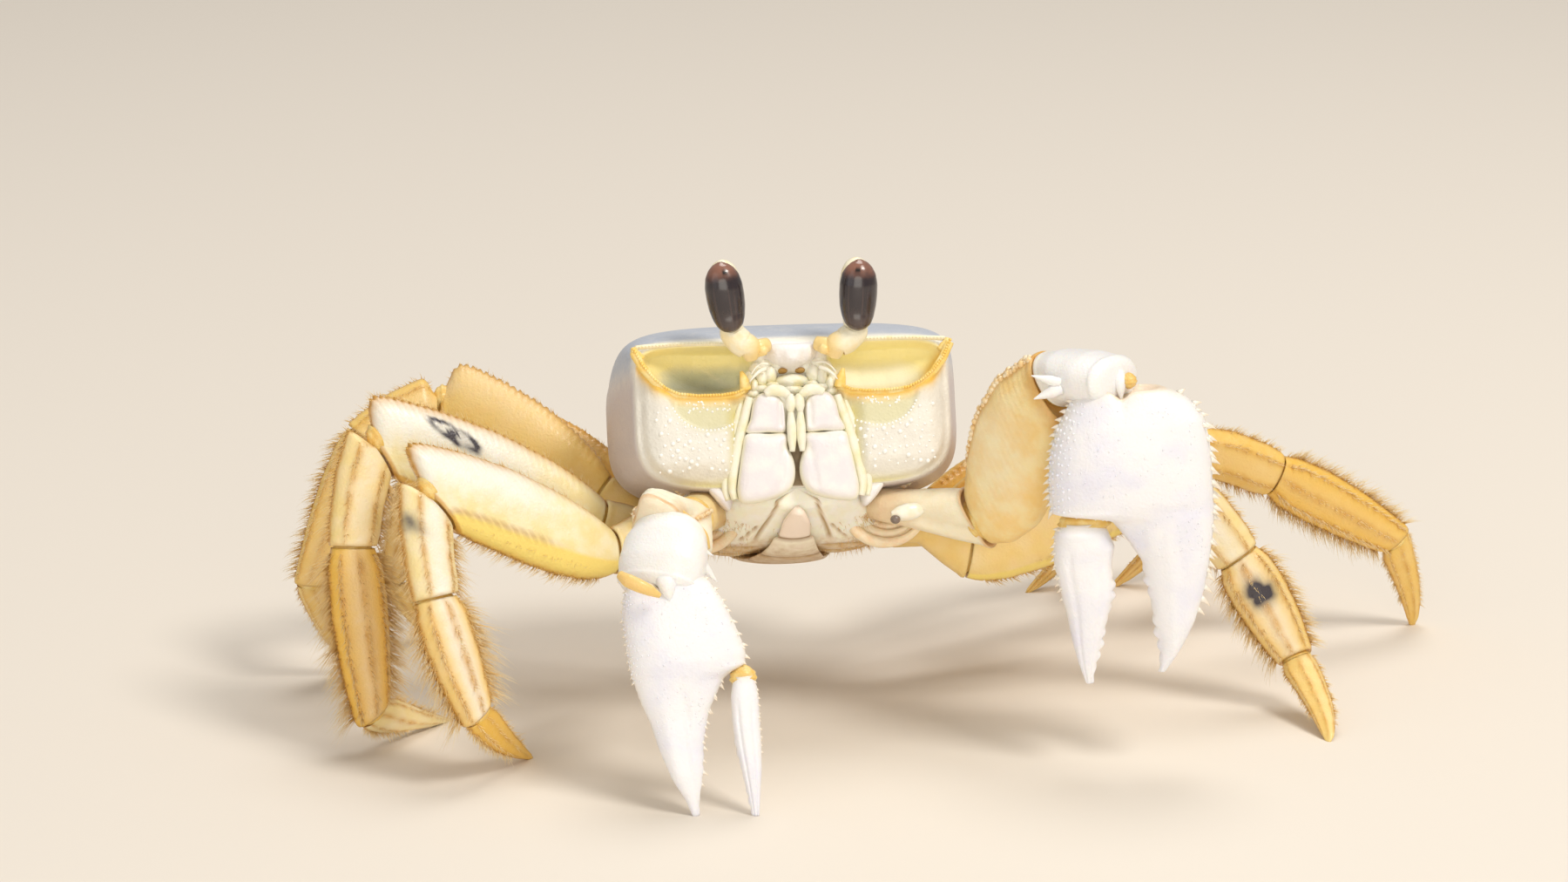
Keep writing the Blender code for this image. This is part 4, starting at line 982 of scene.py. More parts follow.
LEG_GOLD |= {  # how golden each segment is, from the trunk outwards
    ("right", 2): (0.3, 0.05, 0.2, 0.65, 1.0), ("right", 3): (0.3, 0.0, 0.4, 1.0, 0.15),
    ("left", 2): (0.6, 0.5, 0.35, 0.6, 0.6), ("left", 3): (0.6, 0.7, 0.85, 0.95, 0.8),
}
# how pale the front face of each leg's outer segments is, where not 0.1
LEG_PALE = {("right", 2): 0.75, ("right", 3): 0.3, ("left", 2): 0.5}
RIDGE_TURNS = {"carpus": (62, 118, 242, 298), "propodus": (50, 92, 132, 228, 268, 310),
               "dactyl": (45, 90, 135, 225, 270, 315)}
LEG_FOLD, LEG_FOLDS = 0.72, {("right", 2): 1.12}  # turn from the lower edge to the crease of a merus
LEG_SKINS = {"merus": 2.3, "carpus": 2.2, "propodus": 2.5, "dactyl": 1.9}  # half heights before each segment
KNEE_LEAN = -1.1  # how far the skin of the knee lies below the line between its joints
SCAR_LOOPS = (  # where along, how far round, and the half sizes of each
    (0.652, 0.74, 0.042, 0.20), (0.582, 0.56, 0.046, 0.22), (0.618, 0.66, 0.018, 0.10),
)
TOOTH_STEP = 0.9  # from one small tooth of an edge to the next
LEG_SIDES, ARM_SIDES = 48, 72
LIMB_SQUARE = 2.3  # how squared a segment's section is
JOINT_GAP = 0.15
ROOT_DEPTH = 3.6  # how far the first segment of a limb runs back into the trunk


def ring_grid(count, sides):
    """How far along a limb and how far round it each point of its rings is."""
    return np.meshgrid(np.linspace(0, 1, count), around(sides), indexing="ij")


def walk(root, ways, lengths):
    """Joints of a limb, from its root on."""
    spots = [root]
    for way, length in zip(ways, lengths):
        spots.append(spots[-1] + way * length)
    return spots


def aim(side, heading, pitch):
    h, p = math.radians(heading), math.radians(pitch)
    out = 1.0 if side == "left" else -1.0
    return np.array((out * math.cos(h) * math.cos(p), -math.sin(h) * math.cos(p), math.sin(p)))


def square_to(direction, along):
    return unit(np.asarray(direction, float) - along * np.dot(direction, along))


def eased(rows, places, soft):
    """Columns of a table of sections, run smoothly to the given places; soft is the width of the easing."""
    rows = np.array(rows, float)
    fine = np.linspace(rows[0, 0], rows[-1, 0], 801)
    reach = max(1, int(soft / (fine[1] - fine[0])))
    weights = np.hanning(2 * reach + 3)
    weights /= weights.sum()
    columns = []
    for column in rows.T[1:]:
        run = np.pad(np.interp(fine, rows[:, 0], column), reach + 1, mode="reflect", reflect_type="odd")
        columns.append(np.interp(places, fine, np.convolve(run, weights, mode="valid")))
    return columns


def swollen(a, b, out):
    """Places in a section, each moved outwards from its middle."""
    swell = 1 + out / (np.hypot(a, b) + 1e-6)
    return a * swell, b * swell


def limb_rings(start, end, before, after, broad, rows, count, sides, relief, floor=False):
    """Rings of a limb segment with mitred ends; turn 0 is its upper edge and 90 degrees its front face."""
    start, end = np.asarray(start, float), np.asarray(end, float)
    along = unit(end - start)
    length = np.linalg.norm(end - start)
    broad = square_to(broad, along)
    thick = np.cross(along, broad)
    first_plane = unit((along if before is None else before) + along)
    last_plane = np.array((0, 0, -1.0)) if floor else unit((along if after is None else after) + along)
    t = np.linspace(0, 1, count)
    high, deep, lift = eased(rows, t, 0.07)
    turn = around(sides)
    a = (high / 2)[:, None] * squared(np.cos(turn), LIMB_SQUARE)[None]
    b = (deep / 2)[:, None] * squared(np.sin(turn), LIMB_SQUARE)[None]
    a, b = swollen(a, b, relief(*np.meshgrid(t, turn, indexing="ij"), length))
    offset = (a + lift[:, None])[..., None] * broad + b[..., None] * thick
    gap_start = JOINT_GAP if before is not None else 0.0
    gap_end = 0.0 if floor else JOINT_GAP
    first = (gap_start - offset @ first_plane) / (along @ first_plane)
    last = length - (gap_end + offset @ last_plane) / (along @ last_plane)
    rings = start + offset + along * (first + (last - first) * t[:, None])[..., None]
    if floor:
        rings[..., 2] = np.maximum(rings[..., 2], 0.0)
    return rings, along


def cup(rings, along, near=True, far=True):
    """Adds rolled, hollow ends to the rings of a segment."""
    whole = [rings]
    for wanted, edge, sign in ((near, rings[0], 1), (far, rings[-1], -1)):
        if not wanted:
            continue
        centre = edge.mean(0)
        steps = [centre + (edge - centre) * shrink + along * (sign * sink)
                 for shrink, sink in ((0.55, 0.75), (0.80, 0.55), (0.93, 0.12))]
        if sign > 0:
            whole.insert(0, np.array(steps))
        else:
            whole.append(np.array(steps[::-1]))
    return np.concatenate(whole)


def spread_marks(values, near=True, far=True):
    """Marks of a segment's rings, carried on to its hollow ends."""
    parts = [values]
    if near:
        parts.insert(0, np.repeat(values[:1], 3, 0))
    if far:
        parts.append(np.repeat(values[-1:], 3, 0))
    return with_ends(np.concatenate(parts))


def segment_shell(rings, along, marks, root_way=None, far=True):
    """Shell of a segment with its marks: hollow ends, or at its root a stretch run back into the trunk."""
    near = root_way is None
    if not near:
        rings = np.concatenate([rings[:1] - root_way * ROOT_DEPTH, rings])
        marks = {mark: np.concatenate([values[:1], values]) for mark, values in marks.items()}
    marks = {mark: spread_marks(values, near, far) for mark, values in marks.items()}
    return (*close_rings(cup(rings, along, near, far)), marks)


def on_rings(rings, t, turn):
    """Points and outward directions on a segment's surface."""
    count, sides = rings.shape[:2]
    i = np.clip(t, 0, 1) * (count - 1)
    i0 = np.clip(np.floor(i).astype(int), 0, count - 2)
    j = (np.asarray(turn) / (2 * np.pi)) % 1.0 * sides
    j0 = np.floor(j).astype(int) % sides
    j1 = (j0 + 1) % sides
    fi, fj = (i - i0)[:, None], (j - np.floor(j))[:, None]
    near = rings[i0, j0] * (1 - fj) + rings[i0, j1] * fj
    far = rings[i0 + 1, j0] * (1 - fj) + rings[i0 + 1, j1] * fj
    spots = near * (1 - fi) + far * fi
    normal = np.cross(rings[i0 + 1, j0] - rings[i0, j0], rings[i0, j1] - rings[i0, j0])
    normal /= np.linalg.norm(normal, axis=1)[:, None] + 1e-9
    away = spots - rings.mean(1)[i0]
    normal *= np.sign((normal * away).sum(1))[:, None]
    return spots, normal


def tooth(t, length, step):
    """Saw of small forward-leaning teeth, 0 to 1."""
    phase = (t * length / step) % 1.0
    return np.where(phase < 0.75, phase / 0.75, (1 - phase) / 0.25)


def segment_relief(part, fold):
    """Relief of one leg segment; fold is how far from its lower edge the long crease of the merus runs."""
    def relief(t, turn, length):
        upper = (0.5 + 0.5 * np.cos(turn)) ** 2
        edge = bell(np.minimum(turn, 2 * np.pi - turn), 0.16)
        foot = bell(turn - np.pi, 0.16)
        body = ramp(t, 0.03, 0.12) * ramp(1 - t, 0.02, 0.08)
        if part == "merus":
            c = np.cos(turn)
            wrinkle = 0.5 + 0.5 * np.sin(2 * np.pi * t * length / TOOTH_STEP + 1.2 * np.sin(5 * c))
            out = (0.42 * edge + 0.14 * foot) * tooth(t, length, TOOTH_STEP) * body
            out += 0.16 * bell(turn - 0.30, 0.10) + 0.16 * bell(turn - 2 * np.pi + 0.30, 0.10)
            out += 0.10 * wrinkle * ramp(c, 0.25, 0.9) * body
            out += 0.14 * bell(np.abs(turn - np.pi) - fold, 0.09) * body
            return out + 0.20 * bell(t - 0.985, 0.02) - 2.2 * upper * ramp(t, 0.84, 1.0) ** 1.5
        if part == "ischium":
            return 0.15 * bell(t - 0.95, 0.06) + 0.08 * edge
        out = (0.16 * edge + 0.12 * foot) * (0.6 + 0.4 * tooth(t, length, 0.7)) * body
        for place in RIDGE_TURNS[part]:
            out = out + (0.20 if part != "dactyl" else 0.14) * bell(turn - math.radians(place), 0.12) * body
        if part == "carpus":
            out = out - 1.6 * upper * ramp(0.22 - t, 0.0, 0.22) ** 1.5
        return out + (0.14 * bell(t - 0.97, 0.03) if part != "dactyl" else 0.0)
    return relief


leg_finish = finish("leg_shell", (0.88, 0.75, 0.38), ((0.92, 0.84, 0.58), 2.2, 0.35, 0.7),
                    (("gold", (0.82, 0.50, 0.08), 0.45), ("pale", (0.90, 0.88, 0.80), 0.4),
                     ("sun", (0.93, 0.73, 0.20), 0.15), ("edge", (0.62, 0.32, 0.05), 0.5),
                     ("line", (0.30, 0.14, 0.04), 0.0), ("dark", (0.045, 0.036, 0.045), 0.5)),
                    ((0.30, 0.08), (1.4, 0.08)), rough=0.40, gloss=0.18, glow=0.12)
skin_finish = finish("joint_skin", (0.82, 0.52, 0.13), ((0.88, 0.66, 0.26), 1.2, 0.4, 0.7),
                     grain=((0.25, 0.12),), rough=0.42, gloss=0.25, glow=0.2)
BALL_ROWS = ((0.0, 0.15), (0.12, 0.58), (0.3, 0.88), (0.5, 1.0), (0.7, 0.88), (0.88, 0.58), (1.0, 0.15))


def joint_ball(place, along, half_high, half_deep, broad, half_long):
    """Bellows of soft skin that fills a joint."""
    rows = [(f, r * half_high) for f, r in BALL_ROWS]
    rings, t = turned_rings(place - along * half_long, along * (2 * half_long), rows, 26, 24, side_on=broad,
                            flat=half_deep / half_high)
    centre = rings.mean(1)[:, None]
    folds = 1 + 0.05 * np.sin(t * 26)[:, None, None]
    return close_rings(centre + (rings - centre) * folds)


def leg_scars(segment, t, ahead):
    """Dark healed marks: loops on right leg 3, a smudge on right leg 2, a ragged patch on left leg 2."""
    dark = np.zeros_like(t)
    if segment == ("right", 3, "merus"):
        for at, height, long, tall in SCAR_LOOPS:
            away, rise = (t - at) / long, (ahead - height) / tall
            way_round = np.arctan2(away, rise)
            loop = np.hypot(away, rise) + 0.10 * np.sin(3 * way_round + 40 * at)
            dark = np.maximum(dark, (1.05 + 0.35 * np.sin(2 * way_round + 30 * at)) * bell(loop - 1, 0.36))
            dark = np.maximum(dark, 0.30 * bell(loop, 1.0))
    if segment == ("right", 2, "carpus"):
        dark = 0.8 * bell(np.hypot((t - 0.45) / 0.07, (ahead - 1.0) / 0.6), 1.0)
    if segment == ("left", 2, "propodus"):
        way_round = np.arctan2((t - 0.36) / 0.11, ahead / 0.6)
        ragged = (0.16 * np.sin(2 * way_round + 0.7) + 0.12 * np.sin(3 * way_round + 2.0)
                  + 0.10 * np.sin(5 * way_round))
        dark = 1.9 * bell(np.hypot((t - 0.36) / 0.10, ahead / 0.44) + ragged, 1.0)
    return dark


def leg_marks(side, pair, part, gold, fold, length, t, turn):
    """Where a leg segment is golden, pale or sunlit, its browned edges, its dashed line and its scars."""
    ahead = turn - np.pi * (0.5 if side == "left" else 1.5)
    below_edge = np.abs(turn - np.pi)
    gold = np.full_like(t, gold)
    pale, sun, line = (np.zeros_like(t) for _ in range(3))
    edge = np.maximum(bell(np.minimum(turn, 2 * np.pi - turn), 0.46 if part == "merus" else 0.22),
                      0.8 * bell(turn - np.pi, 0.26))
    if part == "merus":
        below = ramp(-below_edge, -fold - 0.06, -fold + 0.02)
        gold = np.maximum(gold, 0.85 * below * (pair > 2))
        sun = below * (pair == 2)
        edge = np.maximum(edge, 0.8 * ramp(t, 0.965, 0.985))
        if (side, pair) == ("right", 2):
            edge = np.maximum(edge, 0.7 * bell(below_edge - fold - 0.02, 0.05) * ramp(t, 0.25, 0.6))
        dash = np.clip(np.sin(2 * np.pi * t * length / 1.4) * 2 + 1.2, 0, 1)
        line = 0.75 * bell(below_edge - fold, 0.055) * dash * ramp(t, 0.3, 0.5)
        pale = (ramp(np.cos(turn), -0.3, 0.5) * ramp(t, 0.1, 0.5)
                * (0.9 if pair < 4 and side == "right" else 0.2))
    if part in RIDGE_TURNS:
        for place in RIDGE_TURNS[part]:
            broken = 0.62 + 0.3 * np.sin(t * 9 + place) * np.sin(t * 23 + 2 * place)
            ridge = (bell(turn - math.radians(place), 0.12)
                     * ramp(1 - t, 0.0, 0.2 if part == "dactyl" else 0.02))
            edge = np.maximum(edge, broken * ridge)
        pale = bell(ahead, 0.45) * (part != "dactyl") * LEG_PALE.get((side, pair), 0.1)
        edge = np.maximum(edge, 0.3 * ramp(t, 0.95, 1.0) * (part != "dactyl"))
    dark = leg_scars((side, pair, part), t, ahead)
    return {"gold": gold, "pale": pale, "sun": sun, "edge": edge, "line": line, "dark": dark}


leg_shells, joint_skins = {}, []
for side, sign in (("right", -1), ("left", 1)):
    for pair, (x, y, z) in LEG_ROOTS.items():
        lengths, size = LEG_LENGTHS[pair], LEG_SCALE[pair]
        *headings, last_heading = LEG_POSES[side, pair]
        ways = [aim(side, *heading) for heading in headings]
        spots = walk(trunk_to_world((sign * x, y, z)), ways, lengths)
        drop = math.degrees(math.asin(spots[-1][2] / lengths[-1]))
        ways.append(aim(side, last_heading, -drop))
        spots.append(spots[-1] + ways[-1] * lengths[-1])
        bend = unit(np.cross(ways[1], ways[2] + ways[3]))
        fold = LEG_FOLDS.get((side, pair), LEG_FOLD)
        for i, part in enumerate(LEG_PARTS):
            rows = [(f, h * size, d * size, lift * size) for f, h, d, lift in SEGMENT_ROWS[part]]
            before = ways[i - 1] if i else aim(side, 0, 0)
            after = ways[i + 1] if i < 4 else None
            broad = np.cross(ways[i], bend)
            count = max(40, int(lengths[i] / 0.25))
            last = part == "dactyl"
            rings, along = limb_rings(spots[i], spots[i + 1], before, after, broad, rows, count, LEG_SIDES,
                                      segment_relief(part, fold), floor=last)
            leg_shells[side, pair, part] = (rings, along, lengths[i])
            marks = leg_marks(side, pair, part, LEG_GOLD[side, pair][i], fold, lengths[i],
                              *ring_grid(count, LEG_SIDES))
            shell = segment_shell(rings, along, marks, None if i else before, far=not last)
            make_piece(f"shell_leg{pair}_{part}_{side}", shell, leg_finish,
                       (f"leg{pair}_{part}_{side}",))
            if i:
                middle = spots[i] + square_to(broad, along) * (KNEE_LEAN * size if part == "carpus" else 0.0)
                joint_skins.append(joint_ball(middle, unit(ways[i - 1] + ways[i]), LEG_SKINS[part] * size,
                                              1.6 * size, broad, 1.5 * size))
make_piece("leg_joint_skins", join_shells(joint_skins), skin_finish)


# Claw arms.  Three short segments carry each claw out of its socket: golden ones next to the body, edged
# with orange beads, and a white domed wrist with a spine at its inner corner.
CLAW_ROOT = (11.5, -10.0, -11.5)
CLAW_LENGTHS = {"minor": (5.7, 14.9, 6.9), "major": (12.25, 21.85, 9.4)}
CLAW_POSES = {"minor": ((68, 5), (75, 9), (66, -46)), "major": ((21.1, -3.7), (40.7, 61.5), (50, 8))}
ARM_ROWS = {
    ("minor", "ischium"): ((0.0, 5.4, 5.0, 0), (0.6, 5.2, 5.0, 0), (1.0, 5.0, 4.8, 0)),
    ("minor", "merus"): ((0.0, 4.8, 4.8, 0), (0.3, 6.4, 7.0, 0.2), (0.7, 9.0, 9.5, 0.4), (1.0, 8.4, 9.4, 0)),
    ("minor", "carpus"): ((0.0, 7.2, 8.8, 0), (0.3, 8.0, 10.4, 0.4), (0.7, 7.9, 10.6, 0.4),
                          (1.0, 6.6, 9.8, 0)),
    ("major", "ischium"): ((0.0, 4.2, 4.2, 0), (0.3, 4.8, 4.8, 0), (0.7, 6.2, 5.6, 0), (1.0, 6.8, 6.0, 0)),
    ("major", "merus"): ((0.0, 6.6, 5.6, 0.2), (0.14, 10.2, 7.0, -0.1), (0.37, 13.4, 7.6, -0.2),
                         (0.67, 13.2, 7.8, -0.3), (1.0, 8.6, 7.2, -0.6)),
    ("major", "carpus"): ((0.0, 6.4, 7.2, 0.3), (0.3, 6.5, 9.2, 0.8), (0.7, 6.3, 9.8, 0.8),
                          (1.0, 5.4, 8.6, 0.6)),
}
ARM_EDGES = {"minor": (62, 298), "major": (18, 300)}  # turns, in degrees, of a long segment's beaded edges
ARM_SKINS = {("minor", "merus"): 3.0, ("minor", "carpus"): 3.9, ("major", "merus"): 3.1,
             ("major", "carpus"): 3.3}
ARM_DOME = ((0.94, 0.35), (0.8, 0.75), (0.62, 0.85), (0.3, 1.1))  # how wide and how far out each ring is
ROLLED_EDGE = ((-0.8, 5.1, 9.9), (0.7, 4.9, 9.6), (2.2, 4.7, 8.7), (3.7, 4.6, 7.5), (4.9, 4.6, 6.4),
               (6.0, 4.6, 4.9), (6.5, 4.6, 3.3))
WRIST_CRESCENT = ((-4.9, -3.0, 2.9), (-4.0, -3.9, 2.4), (-2.8, -4.4, 1.9), (-1.5, -4.6, 1.3),
                  (-0.2, -4.5, 0.5))
ROOT_FOLDS = ((3.2, 1.8), (4.1, 1.2), (5.1, 0.4))  # radius of each fold of skin round a root, how far back


def arm_relief(kind, part):
    def relief(t, turn, length):
        body = ramp(t, 0.03, 0.15) * ramp(1 - t, 0.02, 0.08)
        out = 0.20 * bell(t - 0.975, 0.025)
        if part == "merus":
            for place in ARM_EDGES[kind]:
                out = (out + (0.35 + 0.15 * tooth(t, length, 0.8)) * bell(turn - math.radians(place), 0.14)
                       * body)
            wrinkle = 0.5 + 0.5 * np.sin(2 * np.pi * t * length / 1.0 + 1.5 * np.sin(3 * turn))
            out = out + 0.05 * wrinkle * body
            if kind == "minor":
                peak = 1.5 * bell((turn - 0.42 + np.pi) % (2 * np.pi) - np.pi, 0.32)
                peak -= 3.9 * bell((turn - 5.35 + np.pi) % (2 * np.pi) - np.pi, 0.55)
                out = out + peak * ramp(t, 0.2, 1.0) + 0.25 * (bell(t - 0.9, 0.03) + bell(t - 0.8, 0.03))
        if part == "carpus":
            out = out + 0.12 * bell(t - 0.04, 0.03)
        if (kind, part) == ("major", "ischium"):
            out = (out - 0.7 * bell(turn - 1.5 - 0.5 * t, 0.3) * ramp(t, 0.15, 0.5)
                   + 0.35 * bell(turn - 0.9, 0.4) * ramp(t, 0.3, 0.8))
        return out
    return relief


arm_finish = finish("arm_shell", (0.90, 0.60, 0.17), ((0.93, 0.74, 0.34), 3.0, 0.35, 0.7),
                    (("white", (0.88, 0.87, 0.86), 0.25), ("pale", (0.92, 0.86, 0.68), 0.4),
                     ("edge", (0.62, 0.29, 0.05), 0.45)),
                    ((0.30, 0.08), (1.5, 0.08)), rough=0.38, gloss=0.2, glow=0.2)


def arm_marks(kind, part, t, turn):
    """Where an arm segment is white, pale or browned."""
    if part == "carpus":
        return {"white": np.ones_like(t), "pale": 0.4 * ramp(0.25 - t, 0, 0.2),
                "edge": 0.25 * ramp(0.06 - t, 0, 0.04)}
    pale = np.full_like(t, 0.85 if part == ("merus" if kind == "minor" else "ischium")
                        else 0.25 * (kind == "minor"))
    edge = 0.6 * ramp(t, 0.95, 0.985)
    if part == "ischium":
        edge = np.maximum(edge, 0.38 * ramp(0.5 - t, 0, 0.45))
    else:
        for place in ARM_EDGES[kind]:
            edge = np.maximum(edge, 0.95 * bell(turn - math.radians(place),
                                                0.22 if kind == "major" else 0.15))
        if kind == "major":
            pale = 0.5 * bell(np.hypot((t - 0.45) / 0.4, (turn - 1.3) / 1.2), 1.0)
            edge = np.maximum(edge, 0.5 * ramp(t, 0.86, 0.97))
        else:
            pale = np.maximum(pale, ramp(t, 0.2, 0.6))
            edge = np.maximum(edge, 0.7 * bell(turn - 5.6, 0.6) * ramp(t, 0.7, 0.9))
    return {"white": np.zeros_like(t), "pale": pale, "edge": edge}


def domed(rings, along, marks):
    """A segment closed by a low dome, over which the browned edge fades."""
    centre = rings[-1].mean(0)
    dome = [centre + (rings[-1] - centre) * wide + along * out for wide, out in ARM_DOME]
    marks = {mark: np.concatenate([values, np.repeat(values[-1:] * (0.3 if mark == "edge" else 1), len(dome),
                                                     0)])
             for mark, values in marks.items()}
    return np.concatenate([rings, np.array(dome)]), along, marks


arm_shells, arm_beads, arm_bead_sizes, arm_skins, knobs, claw_wrists = {}, [], [], [], [], {}
for kind, side, sign in (("minor", "right", -1), ("major", "left", 1)):
    lengths = CLAW_LENGTHS[kind]
    ways = [aim(side, *heading) for heading in CLAW_POSES[kind]]
    spots = walk(trunk_to_world(np.multiply(CLAW_ROOT, (sign, 1, 1))), ways, lengths)
    claw_wrists[kind] = spots[-1]
    broad = (0.0, 0.0, 1.0)
    for i, part in enumerate(("ischium", "merus", "carpus")):
        before = ways[i - 1] if i else aim(side, 50, 0)
        after = ways[i + 1] if i < 2 else None
        count = max(44, int(lengths[i] / 0.22))
        rings, along = limb_rings(spots[i], spots[i + 1], before, after, broad, ARM_ROWS[kind, part], count,
                                  ARM_SIDES, arm_relief(kind, part))
        arm_shells[kind, part] = (rings, along, lengths[i])
        marks = arm_marks(kind, part, *ring_grid(count, ARM_SIDES))
        if part == "carpus" or (kind, part) == ("minor", "merus"):
            shell = segment_shell(*domed(rings, along, marks), far=False)
        else:
            shell = segment_shell(rings, along, marks, None if i else before)
        make_piece(f"shell_{kind}_{part}", shell, arm_finish,
                   (f"{kind}_claw_{part}",))
        if i:
            fat = ARM_SKINS[kind, part]
            arm_skins.append(joint_ball(spots[i], unit(ways[i - 1] + ways[i]), fat, fat, broad, 2.2))
        if part == "merus":
            number = int(lengths[i] / 0.8)
            for place in ARM_EDGES[kind]:
                for shift in ((0.0,) if kind == "minor" else (-0.10, 0.10)):
                    at = np.linspace(0.12, 0.97, number) + rng.normal(0, 0.004, number)
                    grains, normal = on_rings(rings, at, np.full(number, math.radians(place) + shift))
                    arm_beads.append(grains)
                    arm_bead_sizes.append(rng.uniform(0.24, 0.50, number)
                                          * (0.65 if kind == "minor" else 1.0))
folds = []
for path, girths, flat, count, sides in ((ROLLED_EDGE, (0.3, 0.45, 0.5, 0.5, 0.5, 0.55, 0.3), 0.9, 60, 14),
                                         (WRIST_CRESCENT, (0.5, 0.85, 0.85, 0.7, 0.3), 0.8, 40, 16)):
    path = [claw_wrists["minor"] + place for place in path]
    folds.append(marked(rod(path, girths, flat, count=count, sides=sides), "gold", 1.0))
for side, sign in (("right", -1), ("left", 1)):
    root = trunk_to_world(np.multiply(CLAW_ROOT, (sign, 1, 1)))
    facing = unit((-0.25 * sign, -1.0, 0.15))
    wide = square_to((1, 0, 0), facing)
    high = np.cross(facing, wide)
    for radius, back in ROOT_FOLDS:
        turn = np.linspace(math.radians(40), math.radians(330), 26) * sign + (0 if sign > 0 else math.pi)
        line = [root - facing * back + (wide * math.cos(a) + high * 0.95 * math.sin(a)) * radius for a
                in turn]
        folds.append(marked(rod(line, (0.4, 0.75, 0.8, 0.75, 0.4), 0.8, count=80, sides=10), "gold", 0.0))
    knob = root + np.array((0.2 * sign, -4.2, -0.1))
    bump = ((0, 0.5), (0.2, 0.95), (0.5, 1.15), (0.8, 0.95), (1, 0.4))
    rings, t = turned_rings(knob, np.array((4.2 * sign, 0.5, 0.6)), bump, 26, 28, side_on=(0, 0, 1))
    knobs.append(marked(close_rings(rings), "spot", 0.0))
    # On the left knuckle a small dark bead half sunk at its end is painted shade standing for a shadowed pit.
    if sign > 0:
        knob = knob + np.array((0.35, -0.55, -0.35))
        dot = ((0, 0.62), (0.5, 0.62), (0.85, 0.45), (1, 0.12))
        rings, t = turned_rings(knob, np.array((0.1, -0.75, 0.1)), dot, 14, 20)
        knobs.append(marked(close_rings(rings), "spot", 1.0))
# The dark spot colour of the knuckles is painted shade for that shadowed pit.
knuckle_finish = finish("arm_knuckles", (0.95, 0.91, 0.80), ((0.93, 0.84, 0.64), 1.2, 0.4, 0.7),
                        (("spot", (0.20, 0.15, 0.12), 0.0),), (), rough=0.3, gloss=0.4, glow=0.15)
make_piece("arm_knuckles", join_shells(knobs), knuckle_finish)
fold_finish = finish("arm_folds", (0.93, 0.78, 0.55), ((0.93, 0.68, 0.42), 1.6, 0.4, 0.7),
                     (("gold", (0.85, 0.58, 0.20), 0.0),), ((0.25, 0.08),), rough=0.38, gloss=0.3, glow=0.2)
make_piece("arm_folds", join_shells(folds), fold_finish)
make_piece("arm_joint_skins", join_shells(arm_skins), skin_finish)
arm_beads, arm_bead_sizes = np.concatenate(arm_beads), np.concatenate(arm_bead_sizes)
arm_bead_finish = finish("arm_beads", (0.90, 0.78, 0.56), ((0.86, 0.60, 0.28), 1.0, 0.4, 0.6), rough=0.3,
                         gloss=0.4)
sow("arm_beads", "bead", arm_beads, (0, 0, 1.0), arm_bead_sizes, arm_bead_sizes, arm_bead_finish)


# Claws.  White shell, faintly lilac in its hollows: a swollen flattened palm that runs out into the fixed
# finger, and a movable finger hinged beside it over a strip of golden skin.  The edges bear small hooked
# spines.
HAND_AIM = {"minor": (114, -71.5), "major": (58, -84)}
HAND_ACROSS = (0.993, -0.122, 0.0)
WRIST_CLEARANCE = {"minor": -1.3, "major": 0.5}
HAND_ROWS = {  # distance along, inner edge, outer edge, thickness
    "minor": ((0.0, -2.6, 5.0, 5.2), (1.5, -4.2, 6.2, 6.0), (4.0, -4.8, 7.4, 6.4), (8.2, -4.9, 8.6, 6.6),
              (10.7, -4.9, 9.1, 6.3), (12.2, -4.7, 8.6, 5.6), (12.9, -4.6, 6.3, 5.2), (14.6, -4.3, 5.1, 4.6),
              (17.1, -3.6, 3.5, 3.8), (20.8, -3.0, 2.3, 3.2), (24.4, -2.1, 1.6, 2.6), (27.2, -0.9, 0.8, 1.7),
              (29.2, -0.4, 0.4, 0.9)),
    "major": ((0.0, -3.4, 5.5, 4.8), (0.9, -4.9, 7.8, 6.2), (2.1, -5.9, 9.2, 7.4), (4.2, -7.2, 10.6, 8.4),
              (7.4, -8.2, 11.1, 8.8), (10.5, -8.6, 11.2, 8.8), (13.7, -8.6, 11.2, 8.2),
              (15.2, -8.3, 11.2, 7.4), (15.7, -1.7, 11.2, 7.0), (17.2, -0.5, 11.1, 6.6),
              (18.8, 0.6, 10.9, 6.2), (21.5, 2.2, 10.4, 5.6), (25.3, 2.9, 9.6, 4.6), (29.5, 3.4, 8.2, 3.6),
              (32.2, 3.9, 6.7, 2.6), (34.2, 3.8, 5.3, 1.7), (35.5, 3.6, 4.3, 0.9)),
}
FINGER_START = {"minor": (13.3, 8.3), "major": (16.1, -4.6)}
FINGER_LEAN = {"minor": -4.0, "major": -1.0}
FINGER_ROWS = {
    "minor": ((0.0, -1.2, 1.3, 3.0), (2.4, -1.7, 1.6, 3.4), (5.5, -1.8, 1.5, 3.2), (8.6, -1.6, 1.4, 2.8),
              (11.6, -1.2, 1.2, 2.3), (14.3, -0.8, 0.8, 1.6), (17.2, -0.4, 0.4, 0.9)),
    "major": ((0.0, -2.6, 2.0, 4.4), (1.2, -3.6, 2.8, 5.4), (3.2, -3.8, 3.6, 5.2), (5.3, -3.8, 3.2, 4.8),
              (9.5, -3.0, 3.1, 4.2), (11.8, -2.5, 2.5, 3.6), (14.8, -2.0, 1.6, 2.8), (17.8, -1.3, 0.8, 1.8),
              (20.3, -0.5, 0.3, 0.9)),
}
CLAW_SQUARE = 2.4  # how squared the section of a hand or finger is
HAND_STEPS, HAND_SIDES, FINGER_STEPS, FINGER_SIDES = 200, 120, 120, 96
PALM = {"minor": 12.6, "major": 15.0}
GRANULE_TURNS = (172, 163, 154, 146, 138, 188, 197, 206)
LOOSE_GRANULES = {"minor": 260, "major": 420}
LIP_AT = {"minor": 12.6, "major": 15.3}  # how far along the raised lip beside the movable finger is
